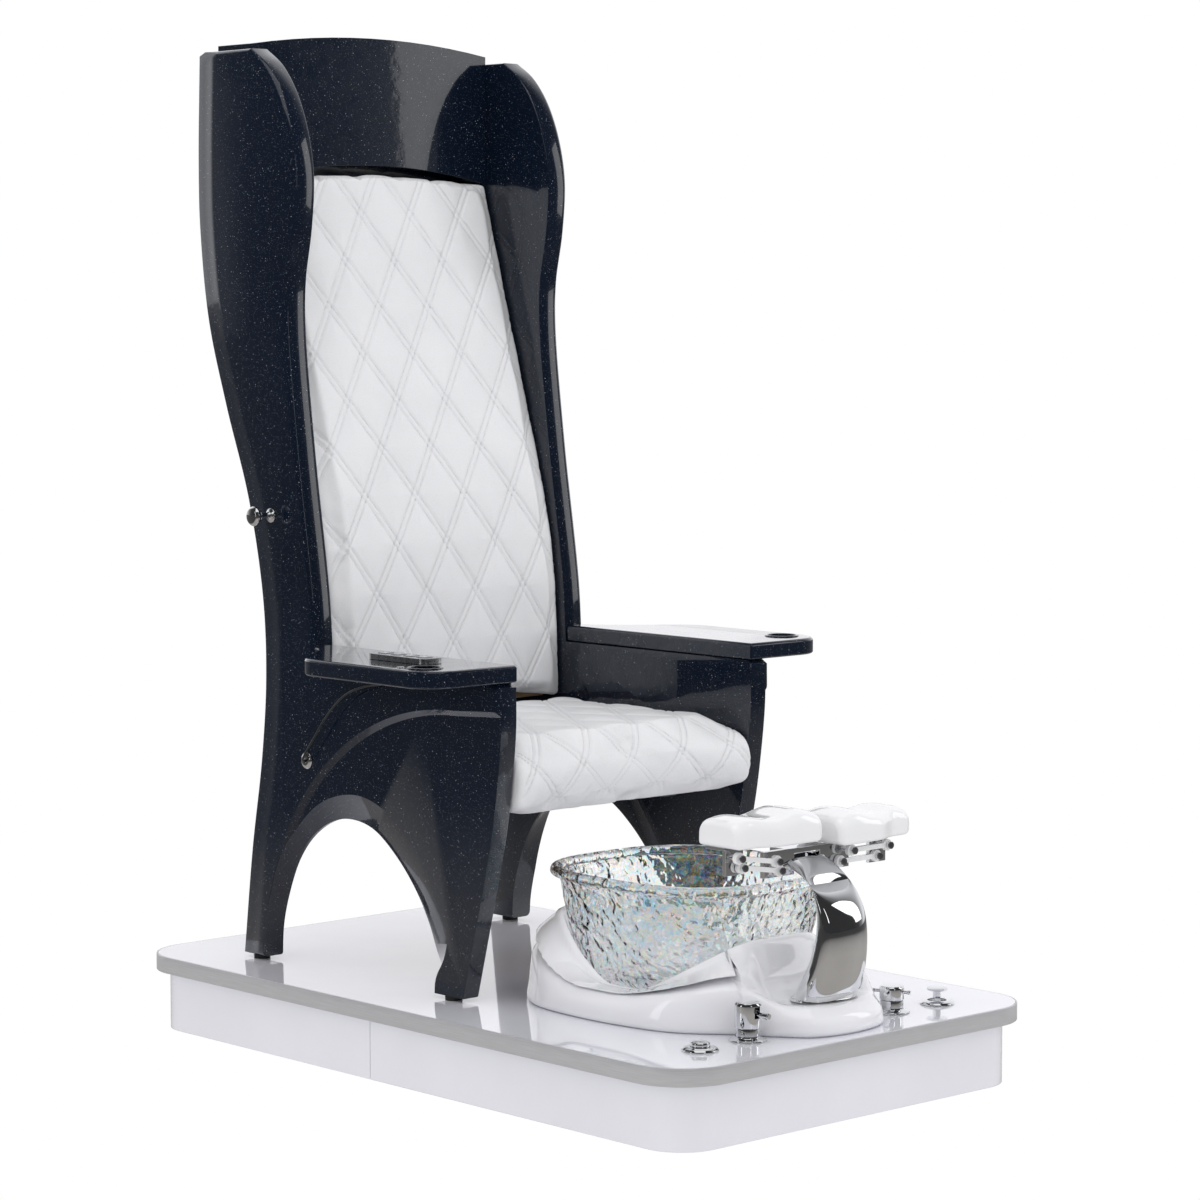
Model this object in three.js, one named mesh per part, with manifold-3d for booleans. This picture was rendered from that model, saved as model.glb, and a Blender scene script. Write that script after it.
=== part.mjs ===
// Pedicure spa chair: a gelcoat armchair and a glass foot bowl on one raised deck.
// Millimetres, +Z up, the chair faces -Y. The floor is z = 0 and the deck's centre is x = y = 0.
import * as THREE from "three";
import { mergeVertices } from "three/addons/utils/BufferGeometryUtils.js";
import Module from "manifold-3d";

const wasm = await Module();
wasm.setup();

// Driving sizes
const GAP = 0.3; // clearance left between pieces that touch
const DECK = { width: 864, length: 1448, top: 140, thick: 30, corner: 100, band: 2.7 };
const PLINTH = { inset: 25, wall: 12, seamY: 68 };
const FRAME = { bar: 30, clear: 14, corner: 45, bayCorner: 12 };
const PIPE = { drainRadius: 19, supplyRadius: 7 };
const SIDE = { inner: 279, outer: 325, recess: 10, foot: 8, armTop: 557 };
const TRAY = { bottom: 557, thick: 30, outer: 475, front: -172, rear: 318 };
const CUP = { x: 425, y: -105, radius: 29, depth: 20 };
const SEAT = { bottom: 326, panFront: -20, front: -190, rear: 366, half: 276.5, panThick: 14, rail: 30, ledge: 18 };
const BOWL = { y: -305, rimHalfX: 210, rimHalfY: 230, rim: 233, glass: 9, drain: 26, power: 2.8 };
const LINK = { reach: 88, pivotX: 89, pivotZ: 283, frontY: -600, dropX: 16, dropZ: 18 };
const TAP = { x: 172, y: -615, flange: 31, buttonX: 283, buttonY: -618 };
const RING_STEPS = 40; // sides of the bowl's and the surround's rings

// Colours and finishes
const FINISH = {
  gelcoat: { color: 0x0c1420, roughness: 0.12, metalness: 0.1 },
  white: { color: 0xf1f1f4, roughness: 0.1, metalness: 0 },
  leather: { color: 0xe6e7ea, roughness: 0.5, metalness: 0 },
  aluminium: { color: 0xb9babd, roughness: 0.35, metalness: 1 },
  chrome: { color: 0xe2e4e6, roughness: 0.05, metalness: 1 },
  steel: { color: 0x55585c, roughness: 0.5, metalness: 0.9 },
  glass: { color: 0xdfe9ea, roughness: 0.03, metalness: 0 },
  rubber: { color: 0x151515, roughness: 0.8, metalness: 0 },
  plastic: { color: 0x2b2d31, roughness: 0.4, metalness: 0 },
  pipe: { color: 0xd8d8d4, roughness: 0.4, metalness: 0 },
  plywood: { color: 0xb98f5e, roughness: 0.7, metalness: 0 },
};

const object = new THREE.Group();
const deckLevel = new THREE.Group(); // everything that stands on the deck is placed from its top
deckLevel.position.z = DECK.top;
object.add(deckLevel);

function add(parent, name, geometry, finish, position = [0, 0, 0]) {
  const mesh = new THREE.Mesh(geometry, new THREE.MeshStandardMaterial(FINISH[finish]));
  mesh.name = name;
  mesh.position.set(...position);
  parent.add(mesh);
  return mesh;
}

// Geometry helpers
function toSolid(geometry) {
  const bare = new THREE.BufferGeometry();
  bare.setAttribute("position", geometry.getAttribute("position"));
  bare.setIndex(geometry.getIndex());
  const merged = geometry.userData.merged ? bare : mergeVertices(bare, 1e-4);
  const vertProperties = new Float32Array(merged.getAttribute("position").array);
  const triVerts = new Uint32Array(merged.getIndex().array);
  return new wasm.Manifold(new wasm.Mesh({ numProp: 3, vertProperties, triVerts }));
}

function toGeometry(solid) {
  const mesh = solid.getMesh();
  const geometry = new THREE.BufferGeometry();
  geometry.setAttribute("position", new THREE.BufferAttribute(mesh.vertProperties, 3));
  geometry.setIndex(new THREE.BufferAttribute(mesh.triVerts, 1));
  geometry.userData.merged = true;
  return geometry;
}

function cut(geometry, ...tools) {
  return toGeometry(tools.reduce((solid, tool) => solid.subtract(toSolid(tool)), toSolid(geometry)));
}

function join(geometry, ...extras) {
  return toGeometry(extras.reduce((solid, extra) => solid.add(toSolid(extra)), toSolid(geometry)));
}

function at(geometry, x, y, z) {
  return geometry.clone().translate(x, y, z);
}

function mirrored(geometry) {
  const copy = geometry.clone().scale(-1, 1, 1);
  const index = Array.from(copy.getIndex().array);
  for (let i = 0; i < index.length; i += 3) {
    [index[i + 1], index[i + 2]] = [index[i + 2], index[i + 1]];
  }
  copy.setIndex(index);
  return copy;
}

function volume(points, faces) {
  return faces.reduce((sum, [a, b, c]) => sum + points[a].dot(points[b].clone().cross(points[c])), 0);
}

// A closed skin over rings of equal count: capped at both ends, or joined end to end into a loop.
function skin(rings, looped = false) {
  const count = rings[0].length;
  const points = rings.flat();
  const faces = [];
  const bands = looped ? rings.length : rings.length - 1;
  for (let r = 0; r < bands; r += 1) {
    const low = r * count;
    const high = ((r + 1) % rings.length) * count;
    for (let i = 0; i < count; i += 1) {
      const j = (i + 1) % count;
      faces.push([low + i, low + j, high + j], [low + i, high + j, high + i]);
    }
  }
  if (!looped) {
    const last = (rings.length - 1) * count;
    for (const [a, b, c] of capFaces(rings[0])) {
      faces.push([a, c, b]);
    }
    for (const [a, b, c] of capFaces(rings[rings.length - 1])) {
      faces.push([last + a, last + b, last + c]);
    }
  }
  const outward = volume(points, faces) > 0;
  const geometry = new THREE.BufferGeometry();
  geometry.setAttribute("position", new THREE.Float32BufferAttribute(points.flatMap((p) => p.toArray()), 3));
  geometry.setIndex(faces.flatMap(([a, b, c]) => (outward ? [a, b, c] : [a, c, b])));
  return geometry;
}

// Triangles that close a flat ring, wound the same way as the ring itself.
function capFaces(ring) {
  const normal = new THREE.Vector3();
  for (let i = 0; i < ring.length; i += 1) {
    normal.add(ring[i].clone().cross(ring[(i + 1) % ring.length]));
  }
  normal.normalize();
  const side = Math.abs(normal.x) < 0.9 ? new THREE.Vector3(1, 0, 0) : new THREE.Vector3(0, 1, 0);
  const u = side.cross(normal).normalize();
  const v = normal.clone().cross(u);
  const flat = ring.map((p) => new THREE.Vector2(p.dot(u), p.dot(v)));
  return THREE.ShapeUtils.triangulateShape(flat, []);
}

function roundedRect(halfX, halfY, corner) {
  const shape = new THREE.Shape();
  shape.moveTo(halfX, -halfY + corner);
  shape.lineTo(halfX, halfY - corner);
  shape.absarc(halfX - corner, halfY - corner, corner, 0, Math.PI / 2);
  shape.lineTo(-halfX + corner, halfY);
  shape.absarc(-halfX + corner, halfY - corner, corner, Math.PI / 2, Math.PI);
  shape.lineTo(-halfX, -halfY + corner);
  shape.absarc(-halfX + corner, -halfY + corner, corner, Math.PI, 1.5 * Math.PI);
  shape.lineTo(halfX - corner, -halfY);
  shape.absarc(halfX - corner, -halfY + corner, corner, 1.5 * Math.PI, 2 * Math.PI);
  return shape;
}

function plate(shape, thick, curveSegments = 8) {
  return new THREE.ExtrudeGeometry(shape, { depth: thick, bevelEnabled: false, curveSegments });
}

function block(x0, x1, y0, y1, z0, z1) {
  const box = new THREE.BoxGeometry(x1 - x0, y1 - y0, z1 - z0);
  return box.translate((x0 + x1) / 2, (y0 + y1) / 2, (z0 + z1) / 2);
}

// A turned piece about +Z from [radius, height] pairs; a pair list that starts off the axis is closed.
function turned(profile, sides = 24) {
  const points = profile.map(([r, z]) => new THREE.Vector2(r, z));
  if (profile[0][0] > 0) {
    points.push(points[0].clone());
  }
  return new THREE.LatheGeometry(points, sides).rotateX(Math.PI / 2);
}

function disc(radius, z0, z1, sides = 24) {
  return turned([[0, z0], [radius, z0], [radius, z1], [0, z1]], sides);
}

// The same disc lying with its axis along Y, from y0 to y1.
function pin(radius, x, z, y0, y1, sides = 16) {
  return disc(radius, y0, y1, sides).rotateX(-Math.PI / 2).translate(x, 0, z);
}

function tube(route, radius, sides = 8, steps = 24) {
  const path = new THREE.CatmullRomCurve3(route.map((p) => new THREE.Vector3(...p)), false, "centripetal");
  const section = new THREE.Shape();
  for (let i = 0; i < sides; i += 1) {
    const turn = (2 * Math.PI * i) / sides;
    section[i ? "lineTo" : "moveTo"](radius * Math.cos(turn), radius * Math.sin(turn));
  }
  return new THREE.ExtrudeGeometry(section, { steps, bevelEnabled: false, extrudePath: path });
}

// Evenly spread points on a smooth line through a few [y, z] points.
function smooth(points, steps) {
  const places = points.map(([y, z]) => new THREE.Vector3(0, y, z));
  const path = new THREE.CatmullRomCurve3(places, false, "centripetal");
  return path.getSpacedPoints(steps).map((p) => [p.y, p.z]);
}

function sideRing(points, x) {
  return points.map(([y, z]) => new THREE.Vector3(x, y, z));
}

// Deck: a white board in an aluminium band
const deckHole = { drain: 45, tap: 18 };
const holeDrain = new THREE.Path().absarc(0, BOWL.y, deckHole.drain, 0, 2 * Math.PI, true);
const deckShape = roundedRect(
  DECK.width / 2 - DECK.band - GAP, DECK.length / 2 - DECK.band - GAP, DECK.corner - DECK.band);
deckShape.holes.push(holeDrain);
for (const x of [-TAP.x, TAP.x]) {
  deckShape.holes.push(new THREE.Path().absarc(x, TAP.y, deckHole.tap, 0, 2 * Math.PI, true));
}
add(deckLevel, "deck_board", plate(deckShape, DECK.thick), "white", [0, 0, -DECK.thick]);
const bandShape = roundedRect(DECK.width / 2, DECK.length / 2, DECK.corner);
const bandInside = roundedRect(
  DECK.width / 2 - DECK.band, DECK.length / 2 - DECK.band, DECK.corner - DECK.band);
bandShape.holes.push(new THREE.Path(bandInside.getPoints(8)));
add(deckLevel, "deck_edge_band", plate(bandShape, DECK.thick), "aluminium", [0, 0, -DECK.thick]);

// Plinth: two U-shaped halves that meet at a seam on the long sides
const plinthHeight = DECK.top - DECK.thick - GAP;
const plinthHalf = { x: DECK.width / 2 - PLINTH.inset, y: DECK.length / 2 - PLINTH.inset };
function plinthPart(end) {
  const corner = DECK.corner - PLINTH.inset;
  const outline = roundedRect(plinthHalf.x, plinthHalf.y, corner);
  outline.holes.push(new THREE.Path(
    roundedRect(plinthHalf.x - PLINTH.wall, plinthHalf.y - PLINTH.wall, corner - PLINTH.wall).getPoints(8)));
  const ring = plate(outline, plinthHeight);
  const far = DECK.length;
  const cutter = end === "front"
    ? block(-far, far, PLINTH.seamY - GAP, far, -1, DECK.top)
    : block(-far, far, -far, PLINTH.seamY + GAP, -1, DECK.top);
  return cut(ring, cutter);
}
add(object, "plinth_front", plinthPart("front"), "white");
add(object, "plinth_rear", plinthPart("rear"), "white");

// Steel ladder frame on four levelling feet, inside the plinth
const frameHalf = {
  x: plinthHalf.x - PLINTH.wall - FRAME.clear,
  y: plinthHalf.y - PLINTH.wall - FRAME.clear,
};
const frameShape = roundedRect(frameHalf.x, frameHalf.y, FRAME.corner);
const crossBars = [-frameHalf.y, -450, -20, 490, frameHalf.y];
for (let i = 0; i < crossBars.length - 1; i += 1) {
  const low = crossBars[i] + (i === 0 ? FRAME.bar : FRAME.bar / 2);
  const high = crossBars[i + 1] - (i === crossBars.length - 2 ? FRAME.bar : FRAME.bar / 2);
  const bay = roundedRect(frameHalf.x - FRAME.bar, (high - low) / 2, FRAME.bayCorner).getPoints(2);
  frameShape.holes.push(new THREE.Path(bay.map((p) => new THREE.Vector2(p.x, p.y + (low + high) / 2))));
}
const frameTop = DECK.top - DECK.thick - GAP;
add(object, "deck_frame", plate(frameShape, FRAME.bar, 3), "steel", [0, 0, frameTop - FRAME.bar]);
const footProfile = [[0, 0], [24, 0], [24, 6], [9, 12], [9, 24], [6, 24], [6, frameTop - FRAME.bar - GAP],
  [0, frameTop - FRAME.bar - GAP]];
for (const [name, sx, sy] of [["front_left", -1, -1], ["front_right", 1, -1], ["rear_left", -1, 1],
  ["rear_right", 1, 1]]) {
  const place = [sx * (frameHalf.x - 30), sy * (frameHalf.y - 30), 0];
  add(object, `levelling_foot_${name}`, turned(footProfile, 12), "rubber", place);
}

// Plumbing under the deck
const drainRoute = [[0, BOWL.y, 111], [0, BOWL.y, 75], [0, BOWL.y + 22, 46], [0, BOWL.y + 60, 38], [0, 0, 36],
  [0, 430, 34]];
add(object, "drain_pipe", tube(drainRoute, PIPE.drainRadius, 10, 20), "pipe");
for (const [name, x] of [["hot_supply_pipe", -TAP.x], ["cold_supply_pipe", TAP.x]]) {
  const route = [[x, TAP.y, DECK.top - 32], [x, TAP.y, 70], [x, TAP.y + 18, 44], [x, TAP.y + 50, 34],
    [x, 0, 30], [x, 430, 28]];
  add(object, name, tube(route, PIPE.supplyRadius, 8, 22), "aluminium");
}

// Side shells: leg arch, arm and tall wing in one moulding
const rearEdge = smooth([[543, SIDE.foot], [517, 203], [487, 370], [473, 517], [480, 661], [520, 839],
  [586, 1010], [636, 1162], [660, 1330], [663, 1450], [657, 1640]], 26);
const wingEdge = smooth([[499, 1647], [456, 1619], [415, 1570], [383, 1500], [367, 1420], [374, 1325],
  [392, 1235], [394, 1150], [369, 934], [329, 670], [321, SIDE.armTop]], 22);
const frontEdge = smooth([[-172, SIDE.armTop - 7], [-172, 480], [-163, 393], [-147, 295], [-116, 173],
  [-72, SIDE.foot]], 10);
// The outline runs up the rear edge, down the wing, along the arm and down the front to the foot.
const armFront = [-160, SIDE.armTop];
function sideOutline(inset, rearShift) {
  const rear = rearEdge.map(([y, z]) => [y - inset - rearShift, z]);
  const top = [640 - inset - rearShift, 1647 - inset];
  const wing = wingEdge.map(([y, z]) => [y + inset, z - inset]);
  const front = frontEdge.map(([y, z]) => [y + inset, z]);
  return [...rear, top, ...wing, [armFront[0], armFront[1] - inset], ...front];
}
const REAR_FACET = 40; // width of the bevelled strip down the outer rear edge
function sideShell() {
  const outer = SIDE.outer;
  return skin([
    sideRing(sideOutline(3, 0), SIDE.inner),
    sideRing(sideOutline(0, 0), SIDE.inner + 4),
    sideRing(sideOutline(0, 0), outer - 10),
    sideRing(sideOutline(3, REAR_FACET), outer - 2),
    sideRing(sideOutline(6, REAR_FACET + 4), outer),
  ]);
}
// The arch between the legs flares outward: its outer edge is wider than its inner one.
const archSteps = 40;
const archInner = smooth([[2, -30], [2, 8], [15, 42], [34, 78], [50, 114], [86, 170], [142, 227], [205, 268],
  [264, 279], [316, 271], [375, 239], [421, 190], [455, 120], [472, 60], [476, -30]], archSteps);
const archOuter = smooth([[2, -30], [2, 30], [-22, 74], [-30, 120], [-2, 175], [48, 248], [131, 308],
  [215, 330], [313, 308], [388, 250], [430, 186], [458, 110], [474, 40], [476, -30]], archSteps);
function archCutter() {
  const slope = (SIDE.outer - SIDE.recess - SIDE.inner);
  const beyond = (k) => archOuter.map(([y, z], i) => [
    archInner[i][0] + (y - archInner[i][0]) * k, archInner[i][1] + (z - archInner[i][1]) * k]);
  return skin([
    sideRing(archInner, SIDE.inner - 5),
    sideRing(archInner, SIDE.inner + 6),
    sideRing(beyond(1), SIDE.inner + slope),
    sideRing(beyond(1 + 12 / slope), SIDE.outer + 2),
  ]);
}
// Below a big quarter-oval the outer face steps in by a few millimetres.
function recessCutter() {
  const oval = { y: -60, z: 0, halfY: 521, halfZ: 494 };
  const steps = 28;
  const ringAt = (grow, x) => {
    const points = [];
    for (let i = 0; i <= steps; i += 1) {
      const turn = (Math.PI / 2) * (i / steps);
      points.push([
        oval.y + (oval.halfY + grow) * Math.cos(turn), oval.z + (oval.halfZ + grow) * Math.sin(turn)]);
    }
    points.push([-260, oval.halfZ + grow + 12], [-260, -30]);
    return sideRing(points, x);
  };
  const floor = SIDE.outer - SIDE.recess;
  return skin([ringAt(0, floor), ringAt(14, SIDE.outer + 4)]);
}
const cableHole = { y: 341, z: 381, radius: 4 };
const hookPlace = { y: 440, z: 814 };
const holeAlongX = disc(cableHole.radius, 0, 60, 12).rotateY(Math.PI / 2)
  .translate(SIDE.inner - 7, cableHole.y, cableHole.z);
const rightSide = cut(sideShell(), archCutter(), recessCutter());
add(deckLevel, "right_side_shell", rightSide, "gelcoat");
add(deckLevel, "left_side_shell", mirrored(cut(rightSide, holeAlongX)), "gelcoat");

// Back shell: closes the back between the side shells, with an arched header above the cushion
const backHalf = SIDE.inner - GAP;
const backCushionTop = { corner: 1417, crest: 1446 };
const backWall = { bottom: 258, thick: 12, inset: 8, headerFront: 548, headerBottom: 1395 };
function archedPlate(halfX, bottom, side, crest, y0, y1, segments = 12) {
  const rise = crest - side;
  const radius = (halfX * halfX + rise * rise) / (2 * rise);
  const arc = { centre: crest - radius, radius, turn: Math.asin(halfX / radius) };
  const shape = new THREE.Shape();
  shape.moveTo(-halfX, bottom);
  shape.lineTo(halfX, bottom);
  for (let i = 0; i <= segments; i += 1) {
    const turn = arc.turn - (2 * arc.turn * i) / segments;
    shape.lineTo(arc.radius * Math.sin(turn), arc.centre + arc.radius * Math.cos(turn));
  }
  return plate(shape, y1 - y0).rotateX(Math.PI / 2).translate(0, y1, 0);
}
function backShell() {
  const { bottom, thick, inset, headerFront, headerBottom } = backWall;
  const behind = rearEdge.filter(([, z]) => z > bottom).map(([y, z]) => [y - inset, z]);
  const inside = behind.filter(([, z]) => z < headerBottom).map(([y, z]) => [y - thick, z]).reverse();
  const header = [[649, 1690], [headerFront, 1690], [headerFront, headerBottom], [628, headerBottom]];
  const profile = [[behind[0][0] + 4, bottom], ...behind.slice(0, -1), ...header, ...inside,
    [inside[inside.length - 1][0] + 4, bottom]];
  const ring = (x) => sideRing(profile, x);
  const wall = skin([ring(-backHalf), ring(backHalf)]);
  const crown = archedPlate(backHalf + 1, 0, 1660, 1682, 300, 900);
  const trimmed = toGeometry(toSolid(wall).intersect(toSolid(crown)));
  const cushionSpace = archedPlate(
    SEAT.half + 1, headerBottom - 5, backCushionTop.corner + 2, backCushionTop.crest + 2, 300, 616);
  const apron = archedPlate(235, 0, backWall.bottom + 2, 330, 300, 900, 16);
  return cut(trimmed, cushionSpace, apron);
}
add(deckLevel, "back_shell", backShell(), "gelcoat");

// Arm trays: wide caps that run out past the side shells, each with a cup recess
function trayOutline(inset) {
  const points = [[SIDE.inner + inset, TRAY.front + inset]];
  const cornerRadius = 62 - inset;
  const cx = TRAY.outer - 62;
  const cy = TRAY.front + 62;
  for (let i = 0; i <= 8; i += 1) {
    const turn = -Math.PI / 2 + (Math.PI / 2) * (i / 8);
    points.push([cx + cornerRadius * Math.cos(turn), cy + cornerRadius * Math.sin(turn)]);
  }
  const sweep = { from: 140, to: TRAY.rear, inner: SIDE.outer + 1 };
  const steps = 14;
  for (let i = 0; i <= steps; i += 1) {
    const t = i / steps;
    const ease = t * t * (3 - 2 * t);
    points.push([
      TRAY.outer + (sweep.inner - TRAY.outer) * ease - inset, sweep.from + (sweep.to - sweep.from) * t]);
  }
  points.push([SIDE.inner + inset, TRAY.rear]);
  return points;
}
function armTray() {
  const level = (inset, z) => trayOutline(inset).map(([x, y]) => new THREE.Vector3(x, y, z));
  const bottom = TRAY.bottom + GAP;
  const top = TRAY.bottom + TRAY.thick;
  const body = skin([
    level(2, bottom), level(0, bottom + 3), level(0, top - 5), level(1.5, top - 1.5), level(5, top)]);
  const cup = disc(CUP.radius, top - CUP.depth, top + 5, 28);
  return cut(body, at(cup, CUP.x, CUP.y, 0));
}
const keypadPlace = { x: -374, y: 8, halfX: 24, halfY: 76, height: 10 };
const trayTop = TRAY.bottom + TRAY.thick;
const rightTray = armTray();
const buttonPlace = { x: -449, y: -70 };
const leadHole = disc(3, TRAY.bottom - 5, trayTop + 5, 12);
const buttonHole = disc(7, trayTop - 12, trayTop + 5, 16);
const leftTray = cut(mirrored(rightTray), at(leadHole, -360, 60, 0),
  at(buttonHole, buttonPlace.x, buttonPlace.y, 0));
add(deckLevel, "right_arm_tray", rightTray, "gelcoat");
add(deckLevel, "left_arm_tray", leftTray, "gelcoat");

// Seat: two steel ledges on the shells, a plywood pan, a plywood back board and two upholstered cushions
const panBottom = SEAT.bottom - SEAT.panThick;
add(deckLevel, "seat_pan",
  block(-backHalf, backHalf, SEAT.panFront, SEAT.rear + 40, panBottom, SEAT.bottom - GAP), "plywood");
for (const [name, x] of [["seat_ledge_left", -backHalf], ["seat_ledge_right", backHalf - SEAT.rail]]) {
  const ledge = block(x, x + SEAT.rail, 20, SEAT.rear, panBottom - SEAT.ledge, panBottom - GAP);
  add(deckLevel, name, ledge, "steel");
}
function seatCushion() {
  const roll = [[-145, SEAT.bottom], [-176, 336], [SEAT.front, 368], [-185, 405], [-160, 432], [-100, 446],
    [60, 449], [240, 445], [SEAT.rear - 42, 440]];
  const profile = [[SEAT.rear, SEAT.bottom], ...smooth(roll, 20)];
  const crowned = (k, x) => profile.map(([y, z]) => {
    const drop = z > 400 ? k * 8 : 0;
    return new THREE.Vector3(x, y, z - drop);
  });
  const half = SEAT.half;
  return skin([
    crowned(1.6, -half), crowned(0.6, -half + 14), crowned(0, -half * 0.55),
    crowned(0, half * 0.55), crowned(0.6, half - 14), crowned(1.6, half)]);
}
add(deckLevel, "seat_cushion", seatCushion(), "leather");
const backFace = smooth([[326, 449], [330, 560], [338, 690], [362, 820], [417, 1010], [482, 1225],
  [548, 1450]], 12);
const cushionThick = 60;
function backCushion() {
  const rear = backFace.map(([y, z]) => [y + cushionThick, z]).reverse();
  const ring = (x, inset) => sideRing([...backFace.map(([y, z]) => [y + inset, z]), ...rear], x);
  const half = SEAT.half;
  const slab = skin([ring(-half, 10), ring(-half + 16, 2), ring(half - 16, 2), ring(half, 10)]);
  const crown = archedPlate(half + 1, 0, backCushionTop.corner, backCushionTop.crest, 100, 900);
  return toGeometry(toSolid(slab).intersect(toSolid(crown)));
}
add(deckLevel, "back_cushion", backCushion(), "leather");
function backBoard() {
  const line = backFace.filter(([, z]) => z < 1390).map(([y, z]) => [y + cushionThick + GAP, z]);
  const rear = line.map(([y, z]) => [y + 10, z]).reverse();
  const ring = (x) => sideRing([...line, ...rear], x);
  return skin([ring(-backHalf), ring(backHalf)]);
}
add(deckLevel, "back_board", backBoard(), "plywood");

// Glides under the four legs
const GLIDE = { radius: 15, x: 302, frontY: -32, rearY: 508 };
for (const [name, x, y] of [["front_left", -GLIDE.x, GLIDE.frontY], ["front_right", GLIDE.x, GLIDE.frontY],
  ["rear_left", -GLIDE.x, GLIDE.rearY], ["rear_right", GLIDE.x, GLIDE.rearY]]) {
  add(deckLevel, `chair_glide_${name}`, disc(GLIDE.radius, GAP, SIDE.foot - GAP, 16), "rubber", [x, y, 0]);
}

// Purse hook, cable grommet and keypad on the left side
const hookProfile = [[0, 0], [13, 0], [13, 4], [6, 7], [5, 26], [13, 31], [18, 38], [15, 45], [0, 48]];
add(deckLevel, "purse_hook", turned(hookProfile, 20).rotateY(-Math.PI / 2), "chrome",
  [-SIDE.outer - GAP, hookPlace.y, hookPlace.z]);
const grommetProfile = [[3.2, 0], [15, 0], [15, 3], [9, 5.5], [3.2, 5.5]];
add(deckLevel, "cable_grommet", turned(grommetProfile, 20).rotateY(-Math.PI / 2), "chrome",
  [-SIDE.outer - GAP, cableHole.y, cableHole.z]);
const cableRoute = [[-281, 341, 381], [-310, 341, 381], [-332, 341, 381], [-338, 338, 384], [-341, 300, 428],
  [-342, 262, 470], [-344, 213, 508], [-351, 150, 530], [-358, 90, 540], [-360, 64, 548], [-360, 60, 560],
  [-360, 60, 584]];
add(deckLevel, "keypad_cable", tube(cableRoute, 2, 8, 44), "rubber");
const padSpot = [keypadPlace.x, keypadPlace.y, trayTop + GAP];
const keypadShape = roundedRect(keypadPlace.halfX, keypadPlace.halfY, 14);
const keySpots = [-51, -17, 17, 51];
const keySize = { half: 11, deep: 5, up: 1.2, corner: 4, clear: 0.6 };
let keypadBody = plate(keypadShape, keypadPlace.height, 6);
const pocketHalf = keySize.half + keySize.clear;
const keyPocket = plate(roundedRect(pocketHalf, pocketHalf, keySize.corner), 20, 4);
for (const y of keySpots) {
  keypadBody = cut(keypadBody, at(keyPocket, 0, y, keypadPlace.height - keySize.deep));
}
add(deckLevel, "keypad_housing", keypadBody, "aluminium", padSpot);
keySpots.forEach((y, i) => {
  const keyShape = roundedRect(keySize.half, keySize.half, keySize.corner);
  const key = plate(keyShape, keySize.deep - 2 + keySize.up, 4);
  const place = [padSpot[0], padSpot[1] + y, padSpot[2] + keypadPlace.height - keySize.deep + 2];
  add(deckLevel, `keypad_key_${i + 1}`, key, "plastic", place);
});
add(deckLevel, "call_button", disc(6.4, trayTop - 8, trayTop + 2, 16), "chrome",
  [buttonPlace.x, buttonPlace.y, 0]);

// Bowl and surround. Plan outlines are rounded squares; the surround also runs forward into a lobe.
function ovalRing(halfX, halfY, z, centreY, power = BOWL.power) {
  const ring = [];
  for (let i = 0; i < RING_STEPS; i += 1) {
    const turn = (2 * Math.PI * i) / RING_STEPS;
    const c = Math.cos(turn);
    const s = Math.sin(turn);
    const reach = (Math.abs(c) ** power + Math.abs(s) ** power) ** (-1 / power);
    ring.push(new THREE.Vector3(halfX * c * reach, centreY + halfY * s * reach, z));
  }
  return ring;
}
const rimX = BOWL.rimHalfX;
const rimY = BOWL.rimHalfY;
// Half-size of the bowl's outside as a share of its rim, with the height above the deck
const bowlWall = [[0.54, 22], [0.66, 27], [0.76, 48], [0.83, 95], [0.9, 165], [0.935, 212]];
const bowlRings = [
  ovalRing(BOWL.drain, BOWL.drain, 22, BOWL.y, 2),
  ...bowlWall.map(([share, z]) => ovalRing(rimX * share, rimY * share, z, BOWL.y)),
  ovalRing(rimX - 2, rimY - 2, BOWL.rim - 15, BOWL.y),
  ovalRing(rimX, rimY, BOWL.rim - 8, BOWL.y),
  ovalRing(rimX - 5, rimY - 5, BOWL.rim - 1, BOWL.y),
  ovalRing(rimX - 12, rimY - 12, BOWL.rim, BOWL.y),
  ovalRing(rimX - 19, rimY - 19, BOWL.rim - 6, BOWL.y),
  ...bowlWall.slice(1).reverse().map(([share, z]) => ovalRing(
    rimX * share - BOWL.glass, rimY * share - BOWL.glass, z + (z < 60 ? 6 : 0), BOWL.y)),
  ovalRing(BOWL.drain, BOWL.drain, 22 + BOWL.glass, BOWL.y, 2),
];
add(deckLevel, "glass_bowl", skin(bowlRings, true), "glass");

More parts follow.
